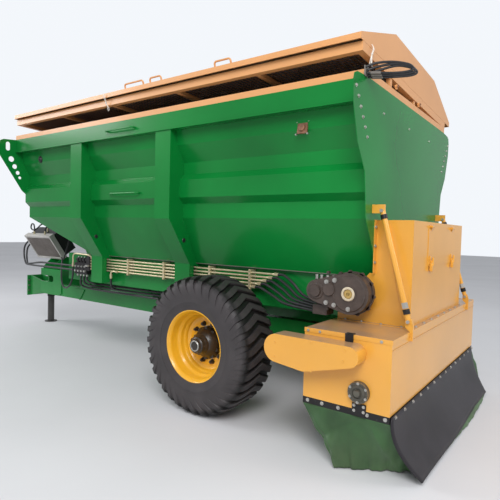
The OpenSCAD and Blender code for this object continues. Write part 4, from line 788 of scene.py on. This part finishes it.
def gearbox_trim():
    """Raised faces, rims and lugs cast on the gearbox."""
    bm = bmesh.new()
    # Raised rim round both shafts
    for centre, radius in ((GEAR, 0.132), (SMALL, 0.066)):
        add_round(bm, centre, centre + LEFT * 0.008, radius, radius - 0.006, sides=64)
    add_round(bm, SMALL + LEFT * 0.004, SMALL + LEFT * 0.024, 0.046, 0.042, sides=32)
    add_round(bm, (-2.46, 0.952, 1.15), (-2.46, 0.966, 1.15), 0.052, 0.046, sides=32)
    for i in range(8):
        seat = GEAR + spoke(45 * i + 10) * 0.142 - LEFT * 0.072
        add_round(bm, seat, seat + LEFT * 0.020, 0.012, sides=10)
    for x in (-2.52, -2.42):
        for z in (1.27, 0.995):
            add_round(bm, (x, 0.875, z), (x, 0.90, z), 0.012, sides=10)
    # Lugs round the inner half of the casting
    for i in range(7):
        seat = GEAR + spoke(35 * i + 80) * 0.155 - LEFT * 0.09
        add_round(bm, seat, seat + LEFT * 0.018, 0.016, sides=12)
    return piece("gearbox_castings", bm, cast_brown, "root", smooth=True)


def gearbox_bolts():
    """Flanged bolts in the gearbox's cover, and the fittings on the motor."""
    bm = bmesh.new()
    for x, z in ((-2.505, 1.222), (-2.505, 1.038), (-2.618, 1.020), (-2.440, 1.205), (-2.44, 1.05)):
        add_round(bm, (x, 0.951, z), (x, 0.964, z), 0.019, 0.017, sides=20)
        add_bolt(bm, (x, 0.962, z), LEFT, 0.010, washer=False)
    # Fittings on top of the motor
    for x in (-2.47, -2.42, -2.37, -2.33):
        add_round(bm, (x, 0.90, 1.215), (x, 0.90, 1.250), 0.012, sides=6)
    return piece("gearbox_bolts", bm, bare_steel, "root")


def gearbox_hub():
    """Cream ring round the brass end of the gearbox's shaft."""
    bm = bmesh.new()
    axis = (GEAR.x, 0, GEAR.z)
    ring_outline = [(0.034, 0.961), (0.050, 0.961), (0.052, 0.965), (0.048, 0.970), (0.036, 0.970)]
    spun(bm, ring_outline, axis, 48)
    ring_cream = finish("ring_cream", (0.60, 0.52, 0.38), 0.45, mottle=(40.0, 0.1))
    piece("gearbox_hub_ring", bm, ring_cream, "root", smooth=True)
    end = bmesh.new()
    end_outline = [(0.001, 0.940), (0.033, 0.940), (0.033, 0.960), (0.030, 0.963), (0.012, 0.963),
                   (0.010, 0.957), (0.001, 0.957)]
    spun(end, end_outline, axis, 32)
    # Key in the shaft's end
    add_block(end, (GEAR.x - 0.004, 0.955, GEAR.z - 0.010), (GEAR.x + 0.004, 0.9625, GEAR.z + 0.010))
    return piece("gearbox_shaft_end", end, brass, "root", smooth=True)


gearbox_trim()
gearbox_bolts()
gearbox_hub()


def door_trim():
    """Latches of the rear door, with their keepers below its lower edge."""
    bm = bmesh.new()
    for y in (0.330, -0.350):
        add_block(bm, (-3.034, y - 0.018, 1.290), (-3.0095, y + 0.018, 1.356), 0.004)
        add_round(bm, (-3.030, y, 1.336), (-3.030, y, 1.400), 0.009, 0.007, sides=14)
        add_block(bm, (-3.016, y - 0.026, 1.350), (-3.0093, y + 0.026, 1.412), 0.002)
    return piece("door_latches", bm, orange_enamel, "door", smooth=True)


door_trim()


def stay_ends():
    """Collars, nuts and pins at the ends of both stay rods."""
    black = bmesh.new()
    steel = bmesh.new()
    for s in (1, -1):
        top = Vector((-2.807, s * 0.850, 1.735))
        low = Vector((-3.034, s * 0.893, 0.978))
        way = (low - top).normalized()
        add_round(black, top + way * 0.030, top + way * 0.062, 0.024, sides=24)
        add_round(black, low - way * 0.085, low - way * 0.050, 0.024, sides=24)
        add_round(steel, low - way * 0.130, low - way * 0.090, 0.023, sides=6)
        for pin in (top, low):
            add_round(steel, pin - LEFT * 0.03, pin + LEFT * 0.03, 0.012, sides=12)
    piece("stay_collars", black, black_paint, "root", smooth=True)
    piece("stay_nuts", steel, bare_steel, "root", smooth=True)


stay_ends()


# Hopper trim
def rail_lips():
    """Lip under the top rail on both sides."""
    bm = bmesh.new()
    low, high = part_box("top_rail")
    for s in (1, -1):
        near, far = sorted((s * high.y, s * (high.y + 0.013)))
        add_block(bm, (low.x + 0.001, near, low.z), (high.x - 0.001, far, low.z + 0.009), 0.001)
    return piece("rail_lips", bm, green_enamel, "root")


def wing_bolts():
    """Bolts down the slanting edges of the rear wings, and along the rear wall's top."""
    bm = bmesh.new()
    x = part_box("rear_wall")[0].x
    for s in (1, -1):
        for i in range(6):
            add_bolt(bm, (x, s * (1.212 - 0.042 * i), 2.534 - 0.060 * i), (-1, 0, 0), 0.009)
    for y in (-0.5, 0.1, 0.7):
        add_bolt(bm, (x, y, 2.46), (-1, 0, 0), 0.007)
    return piece("wing_bolts", bm, bare_steel, "root")


def sensor_plate():
    """Small bare plate with a round socket and four screws on the left wall's upper slope."""
    bm = bmesh.new()
    screws = bmesh.new()
    lean = Matrix.Rotation(math.atan2(0.022, 0.130), 4, "X")
    place = Matrix.Translation((-2.196, 0.957, 2.363)) @ lean
    outward = Matrix.Rotation(-math.pi / 2, 4, "X")
    bmesh.ops.create_cube(bm, size=1.0, matrix=place @ Matrix.Diagonal((0.088, 0.012, 0.088, 1.0)))
    bmesh.ops.create_cone(bm, cap_ends=True, segments=32, radius1=0.030, radius2=0.026, depth=0.016,
                          matrix=place @ Matrix.Translation((0.0, 0.012, 0.0)) @ outward)
    for x in (-0.05, 0.05):
        for z in (-0.05, 0.05):
            bmesh.ops.create_cone(screws, cap_ends=True, segments=12, radius1=0.009, radius2=0.007,
                                  depth=0.012, matrix=place @ Matrix.Translation((x, 0.004, z)) @ outward)
    piece("sensor_plate", bm, rust_plate, "root")
    piece("sensor_screws", screws, bare_steel, "root")


rail_lips()
wing_bolts()
sensor_plate()

# Cover: sieve mesh, edges, ties and rests. It lies on the rim with a slight tilt about its hinge
TILT = math.radians(2.7)
HINGE = Vector((0.0, -1.135, 2.709))
TILTED = Matrix.Translation(HINGE) @ Matrix.Rotation(TILT, 4, "X") @ Matrix.Translation(-HINGE)

# Half a post's width, the x of the posts' middles, and the y and z of the round holes in their flanges
POST_HALF = 0.100
posts_low, posts_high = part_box("posts")
POST_X = (posts_low.x + POST_HALF, posts_high.x - POST_HALF)
POST_HOLE_Y = 0.839
POST_HOLE_Z = 1.4625


def rubber_plugs():
    """Push-in plugs: in the posts' holes and high on the left wall."""
    bm = bmesh.new()
    z = POST_HOLE_Z
    for y in (POST_HOLE_Y, -POST_HOLE_Y):
        for x in POST_X:
            for end in (1, -1):
                add_round(bm, (x + end * 0.0995, y, z), (x + end * 0.104, y, z), 0.023, 0.019, sides=24)
    wall = Vector((1.486, 0.9525, 2.381))
    out = Vector((0, 0.986, -0.167))
    steps = ((0.043, 0.0, 0.006, 0.040), (0.033, 0.006, 0.017, 0.026), (0.012, 0.017, 0.024, 0.009))
    for radius, start, end, tip in steps:
        add_round(bm, wall + out * start, wall + out * end, radius, tip, sides=32)
    return piece("rubber_plugs", bm, hose_rubber, "root", smooth=True)


# Pitch of the loop's three hoses at its ends and in its bend, and the bend of the outermost one
LOOP_PITCH = 0.019
BEND_PITCH = 0.016
LOOP_BEND = [(-2.885, 0.965, 2.728), (-2.960, 0.880, 2.724), (-2.982, 0.846, 2.702),
             (-2.955, 0.875, 2.678), (-2.885, 0.940, 2.662)]


def cover_hose_loop():
    """Three hoses in a flat loop at the hopper's rear corner, with both ends in sleeves."""
    bm = bmesh.new()
    for i in range(3):
        d = LOOP_PITCH * i
        e = BEND_PITCH * i
        loop = [(-2.742, 1.084 - d, 2.686 - d), (-2.80, 1.045 - d, 2.712 - d)]
        loop += [(x - e / 2, y - e, z - d / 2) for x, y, z in LOOP_BEND]
        loop += [(-2.81, 1.015 - d, 2.654 - d / 2), (-2.742, 1.070 - d, 2.650 - d / 2)]
        add_tube(bm, smooth_path(loop), 0.0085)
    piece("cover_hose_loop", bm, hose_rubber, "root", smooth=True)
    ends = bmesh.new()
    for i in range(3):
        d = LOOP_PITCH * i
        add_round(ends, (-2.760, 1.056 - d, 2.651 - d / 2), (-2.815, 1.011 - d, 2.654 - d / 2), 0.0115,
                  sides=12)
    add_block(ends, (-2.741, 1.028, 2.628), (-2.7345, 1.098, 2.697), 0.002)
    return piece("cover_hose_sleeves", ends, dull_steel, "root", smooth=True)


WIRE = 0.004
SIEVE_HALF = 1.048
SIEVE_REAR = -2.668
SIEVE_FRONT = 1.719
CROSS_WIRES = 108
LONG_WIRES = 54


def sieve_mesh():
    """Wires across and along the sieve, in two layers."""
    bm = bmesh.new()
    for i in range(CROSS_WIRES + 1):
        x = SIEVE_REAR + (SIEVE_FRONT - SIEVE_REAR) * i / CROSS_WIRES
        add_block(bm, (x - WIRE / 2, -SIEVE_HALF, 2.7285), (x + WIRE / 2, SIEVE_HALF, 2.7325))
    for i in range(LONG_WIRES + 1):
        y = -SIEVE_HALF + 2 * SIEVE_HALF * i / LONG_WIRES
        add_block(bm, (SIEVE_REAR, y - WIRE / 2, 2.7320), (SIEVE_FRONT, y + WIRE / 2, 2.7360))
    bmesh.ops.transform(bm, matrix=TILTED, verts=bm.verts)
    return piece("sieve_mesh", bm, mesh_wire, "sieve", replaced=("sieve_rods",))


HOOD_MIDDLE = -0.075


def hood_edges():
    """Folded lips along the hood's sides."""
    bm = bmesh.new()
    low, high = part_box("hood")
    for s in (1, -1):
        near, far = sorted((HOOD_MIDDLE + s * 1.209, HOOD_MIDDLE + s * 1.213))
        add_block(bm, (low.x, near, 2.759), (high.x, far, 2.767), 0.001)
    bmesh.ops.transform(bm, matrix=TILTED, verts=bm.verts)
    return piece("hood_edges", bm, tan_enamel, "hood")


def cover_ties():
    """White cords knotted on the hood's flange, whose ends hang down over the rim."""
    bm = bmesh.new()
    strands = (
        [(0.004, 1.146, 2.900), (-0.004, 1.140, 2.860), (-0.010, 1.120, 2.820), (-0.021, 1.112, 2.780),
         (-0.033, 1.108, 2.735)],
        [(-0.008, 1.146, 2.898), (-0.018, 1.135, 2.850), (-0.008, 1.120, 2.812), (-0.043, 1.112, 2.770),
         (-0.047, 1.108, 2.742)],
        [(-2.729, 0.965, 2.876), (-2.743, 0.972, 2.850), (-2.745, 0.995, 2.800), (-2.747, 1.025, 2.750),
         (-2.752, 1.050, 2.706)],
        [(-2.729, 0.955, 2.872), (-2.745, 0.962, 2.840), (-2.744, 0.990, 2.795), (-2.750, 1.005, 2.745),
         (-2.758, 1.020, 2.702)],
        [(-2.744, 0.992, 2.800), (-2.749, 1.012, 2.765), (-2.760, 1.040, 2.730), (-2.762, 1.052, 2.700)])
    for strand in strands:
        add_tube(bm, smooth_path(strand, 8), 0.0026, sides=8)
    for knot in ((-0.009, 1.121, 2.818), (-2.745, 0.993, 2.800)):
        bmesh.ops.create_icosphere(bm, subdivisions=2, radius=0.008, matrix=Matrix.Translation(knot))
    return piece("cover_ties", bm, white_cord, "hood", smooth=True)


def rest_lugs():
    """Round eyes and nuts on the rear rests."""
    bm = bmesh.new()
    nuts = bmesh.new()
    for y in (0.520, -0.070):
        add_round(bm, (-2.7325, y - 0.045, 2.716), (-2.7500, y - 0.045, 2.716), 0.015, sides=20)
        add_block(bm, (-2.7500, y - 0.052, 2.694), (-2.7335, y - 0.038, 2.712), 0.002)
        add_round(nuts, (-2.7500, y - 0.045, 2.716), (-2.7590, y - 0.045, 2.716), 0.009, sides=6)
    piece("rest_eyes", bm, tan_enamel, "root", smooth=True)
    return piece("rest_nuts", nuts, rust_plate, "root")


sieve_mesh()
hood_edges()
cover_ties()
rest_lugs()
rubber_plugs()
cover_hose_loop()


# Pipes, valves, cooler and hoses
PIPE_Y = 0.676
PIPE_Z = (1.195, 1.162, 1.130, 1.098, 1.066)
# The pipes end at the rear in steps, and at the front in the valve bank
pipes_low, pipes_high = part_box("steel_pipes")
PIPE_END = pipes_low.x
PIPE_STEP = 0.060
VALVE_X = pipes_high.x
VALVE_PITCH = 0.062
PIPE_RADIUS = 0.009


def pipe_fittings():
    """Nuts on the pipes' ends, bolts of their clamps, the elbow, the bent pipe and the cooler's fittings."""
    bm = bmesh.new()
    for i, z in enumerate(PIPE_Z):
        x = PIPE_END + PIPE_STEP * i
        add_round(bm, (x, PIPE_Y, z), (x + 0.038, PIPE_Y, z), 0.0155, sides=6)
        add_round(bm, (x + 0.038, PIPE_Y, z), (x + 0.058, PIPE_Y, z), 0.0135, 0.010, sides=12)
        add_round(bm, (VALVE_X - 0.038, PIPE_Y, z), (VALVE_X - 0.002, PIPE_Y, z), 0.0155, sides=6)
    for x in (-0.427, 0.143, -1.057, -1.537):
        for z in (1.047, 1.114, 1.179, 1.214):
            add_bolt(bm, (x, pipes_high.y, z), LEFT, 0.007)
    # Elbow behind the post, and the bent pipe over the valve bank
    route = [(0.330, 0.6975, 1.066), (0.385, 0.6975, 1.066), (0.418, 0.699, 1.052), (0.420, 0.700, 1.015)]
    add_tube(bm, smooth_path(route, 6), PIPE_RADIUS)
    add_round(bm, (0.420, 0.700, 1.030), (0.420, 0.700, 0.984), 0.0150, sides=6)
    add_round(bm, (0.336, 0.6975, 1.066), (0.310, 0.6975, 1.066), 0.0145, sides=6)
    route = [(0.790, 0.688, 1.200), (0.850, 0.698, 1.228), (0.980, 0.700, 1.234), (1.110, 0.700, 1.236),
             (1.152, 0.700, 1.222), (1.165, 0.700, 1.180), (1.165, 0.700, 1.110)]
    add_tube(bm, smooth_path(route, 6), PIPE_RADIUS)
    add_round(bm, (1.165, 0.700, 1.118), (1.165, 0.700, 1.074), 0.0150, sides=6)
    for x, y, z in ((2.500, 0.458, 1.440), (2.220, 0.458, 1.440), (2.300, 0.370, 1.485)):
        add_round(bm, (x, y, z), (x, y, z + 0.036), 0.0145, sides=6)
        add_round(bm, (x, y, z + 0.036), (x, y, z + 0.052), 0.0120, 0.0105, sides=12)
    return piece("pipe_fittings", bm, pipe_zinc, "root")


def valve_details():
    """Coils with their caps, and the fittings on the valve bank."""
    coils = bmesh.new()
    steel = bmesh.new()
    for i in range(4):
        x = VALVE_X + 0.089 + VALVE_PITCH * i
        add_round(coils, (x, 0.66, 1.130), (x, 0.66, 1.190), 0.020, sides=24)
        add_block(coils, (x - 0.022, 0.635, 1.150), (x + 0.022, 0.685, 1.182), 0.004)
        add_round(steel, (x, 0.66, 1.190), (x, 0.66, 1.204), 0.011, sides=12)
        add_round(steel, (x, 0.696, 1.03), (x, 0.716, 1.03), 0.014, sides=6)
        add_round(steel, (x, 0.696, 1.085), (x, 0.712, 1.085), 0.012, sides=6)
        add_round(steel, (x, 0.666, 0.965), (x, 0.666, 0.992), 0.016, sides=6)
    for x in (VALVE_X + 0.015, VALVE_X + 0.045):
        add_round(steel, (x, 0.701, 1.10), (x, 0.725, 1.10), 0.013, sides=6)
    piece("valve_coils", coils, black_paint, "root", smooth=True)
    piece("valve_fittings", steel, bare_steel, "root", smooth=True)


# The cooler is drawn upright from its upper outer corner at the rear, then its foot swings inward
cooler_low, cooler_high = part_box("oil_cooler")
COOLER_LEAN = math.radians(34.0)
COOLER_CORNER = (cooler_low.x, cooler_high.y, 1.418)
COOLER_PLACE = Matrix.Translation(COOLER_CORNER) @ Matrix.Rotation(-COOLER_LEAN, 4, "X")
FINS = 64
FIN_HEIGHT = 0.325
FAN = Vector((0.3275, -0.264, -0.1925))


def cooler_details():
    """Fins over the core, both tanks, the cowl and the fan guard."""
    fins = bmesh.new()
    for i in range(FINS):
        z = -0.030 - i * FIN_HEIGHT / (FINS - 1)
        add_block(fins, (0.030, -0.040, z - 0.0012), (0.625, -0.003, z + 0.0012))
    bmesh.ops.transform(fins, matrix=COOLER_PLACE, verts=fins.verts)
    piece("cooler_fins", fins, fin_alloy, "root")
    tanks = bmesh.new()
    add_block(tanks, (-0.004, -0.074, -0.389), (0.659, 0.004, -0.357), 0.003)
    add_block(tanks, (-0.004, -0.074, -0.028), (0.659, 0.004, 0.004), 0.003)
    bmesh.ops.transform(tanks, matrix=COOLER_PLACE, verts=tanks.verts)
    piece("cooler_tanks", tanks, cooler_alloy, "root")
    cowl = bmesh.new()
    add_block(cowl, (0.0180, -0.264, -0.0215), (0.6370, -0.072, -0.0185))
    add_block(cowl, (0.0180, -0.264, -0.3665), (0.6370, -0.072, -0.3635))
    add_block(cowl, (0.0170, -0.264, -0.3640), (0.0195, -0.072, -0.0210))
    add_block(cowl, (0.6355, -0.264, -0.3640), (0.6380, -0.072, -0.0210))
    bmesh.ops.transform(cowl, matrix=COOLER_PLACE, verts=cowl.verts)
    piece("cooler_cowl_skin", cowl, black_paint, "root")
    guard = bmesh.new()
    for radius in (0.04, 0.07, 0.10, 0.13, 0.148):
        ring = [FAN + spoke(degrees) * radius for degrees in range(0, 360, 15)]
        add_tube(guard, ring, 0.0025, sides=6, closed=True)
    for degrees in range(0, 360, 45):
        u = spoke(degrees)
        add_round(guard, FAN + u * 0.03, FAN + u * 0.150, 0.003, sides=6)
    bmesh.ops.transform(guard, matrix=COOLER_PLACE, verts=guard.verts)
    piece("fan_guard", guard, black_paint, "root")


HOSE_RADIUS = 0.012
RETURN_RADIUS = 0.011
COOLER_HOSE_RADIUS = 0.010


def machine_hoses():
    """Black hoses between the cooler, the valves, the pipes and the motor."""
    bm = bmesh.new()
    # Two hoses from the cooler's front round to the valve bank
    for i in (0, 1):
        route = [(2.6955, 0.420 - 0.06 * i, 1.330 - 0.02 * i),
                 (2.745, 0.420 - 0.06 * i, 1.330 - 0.02 * i), (2.815, 0.430 - 0.05 * i, 1.250 - 0.01 * i),
                 (2.800, 0.445 - 0.04 * i, 1.130), (2.705, 0.474 - 0.03 * i, 1.026),
                 (2.50, 0.55 - 0.02 * i, 1.012 + 0.01 * i), (2.00, 0.672, 1.026 + 0.046 * i),
                 (1.80, PIPE_Y, 1.030 + 0.05 * i), (VALVE_X + 0.3045, PIPE_Y, 1.030 + 0.05 * i)]
        add_tube(bm, smooth_path(route), HOSE_RADIUS)
    # Three hoses from the valves back along the frame
    for i in range(3):
        x = VALVE_X + 0.090 + VALVE_PITCH * i
        route = [(x, 0.666, 0.985), (x, 0.664, 0.92 - 0.03 * i), (x - 0.05, 0.60, 0.875 - 0.03 * i),
                 (VALVE_X - 0.06, 0.50 + 0.034 * i, 0.86 - 0.03 * i),
                 (0.3, 0.480 + 0.034 * i, 0.857 - 0.03 * i), (-1.056, 0.480 + 0.034 * i, 0.86 - 0.03 * i)]
        add_tube(bm, smooth_path(route), HOSE_RADIUS)
    # Hoses from the pipes' rear ends to the motor
    for i, z in enumerate(PIPE_Z):
        x = PIPE_END + PIPE_STEP * i
        route = [(x, PIPE_Y, z), (x - 0.06, PIPE_Y, z - 0.002),
                 (x - 0.16 - 0.02 * i, 0.69 + 0.008 * i, z - 0.06),
                 (-2.10 + 0.03 * i, 0.70 + 0.020 * i, 1.050 - 0.02 * i),
                 (-2.225, 0.700 + 0.030 * i, 1.012 - 0.014 * i),
                 (-2.2895, 0.700 + 0.030 * i, 1.010 - 0.014 * i)]
        add_tube(bm, smooth_path(route), HOSE_RADIUS)
    # Return hose, hanging from the cooler's lower tank to the valves
    route = [(2.035, 0.318, 1.125), (1.990, 0.330, 1.090), (1.940, 0.370, 1.010), (1.850, 0.430, 0.930),
             (1.700, 0.520, 0.850), (1.540, 0.600, 0.795), (1.380, 0.660, 0.785), (1.250, 0.690, 0.830),
             (1.180, 0.700, 0.920), (1.165, 0.700, 1.010), (1.165, 0.700, 1.075)]
    add_tube(bm, smooth_path(route), RETURN_RADIUS)
    # Hose that drops from the elbow behind the post
    route = [(0.420, 0.700, 0.985), (0.421, 0.698, 0.940), (0.440, 0.670, 0.880), (0.480, 0.600, 0.850),
             (0.560, 0.540, 0.850), (0.700, 0.500, 0.850)]
    add_tube(bm, smooth_path(route), RETURN_RADIUS)
    # Hoses on the cooler's upper tank: a tight loop and an arc to the cowl
    route = [(2.500, 0.458, 1.470), (2.500, 0.456, 1.530), (2.540, 0.445, 1.585), (2.610, 0.435, 1.590),
             (2.640, 0.430, 1.535), (2.585, 0.425, 1.505), (2.510, 0.410, 1.530), (2.420, 0.390, 1.590),
             (2.325, 0.375, 1.570), (2.300, 0.370, 1.515)]
    add_tube(bm, smooth_path(route), COOLER_HOSE_RADIUS)
    route = [(2.220, 0.458, 1.470), (2.218, 0.452, 1.530), (2.160, 0.415, 1.600), (2.050, 0.380, 1.640),
             (1.960, 0.330, 1.600), (1.930, 0.290, 1.500), (1.930, 0.270, 1.380), (1.950, 0.300, 1.220),
             (1.960, 0.330, 1.100)]
    add_tube(bm, smooth_path(route), COOLER_HOSE_RADIUS)
    return piece("machine_hoses", bm, hose_rubber, "root", smooth=True, replaced=("hoses",))


pipe_fittings()
valve_details()
cooler_details()
machine_hoses()


def hitch_bolts():
    """Nuts on the hitch flange."""
    bm = bmesh.new()
    for y in (-0.130, 0.130):
        for z in (0.536, 0.616, 0.696):
            add_round(bm, (3.222, y, z), (3.231, y, z), 0.016, sides=6)
    return piece("hitch_nuts", bm, dull_steel, "root")


hitch_bolts()

# Floor
FLOOR_HALF = 40.0
floor_bm = bmesh.new()
bmesh.ops.create_grid(floor_bm, x_segments=1, y_segments=1, size=FLOOR_HALF)
floor_mesh = bpy.data.meshes.new("floor")
floor_bm.to_mesh(floor_mesh)
floor_bm.free()
floor = bpy.data.objects.new("floor", floor_mesh)
floor_paint = finish("pale_floor", (0.66, 0.66, 0.68), 0.75, mottle=(0.5, 0.04), grain=(60.0, 0.03))
floor.data.materials.append(floor_paint)
scene.collection.objects.link(floor)
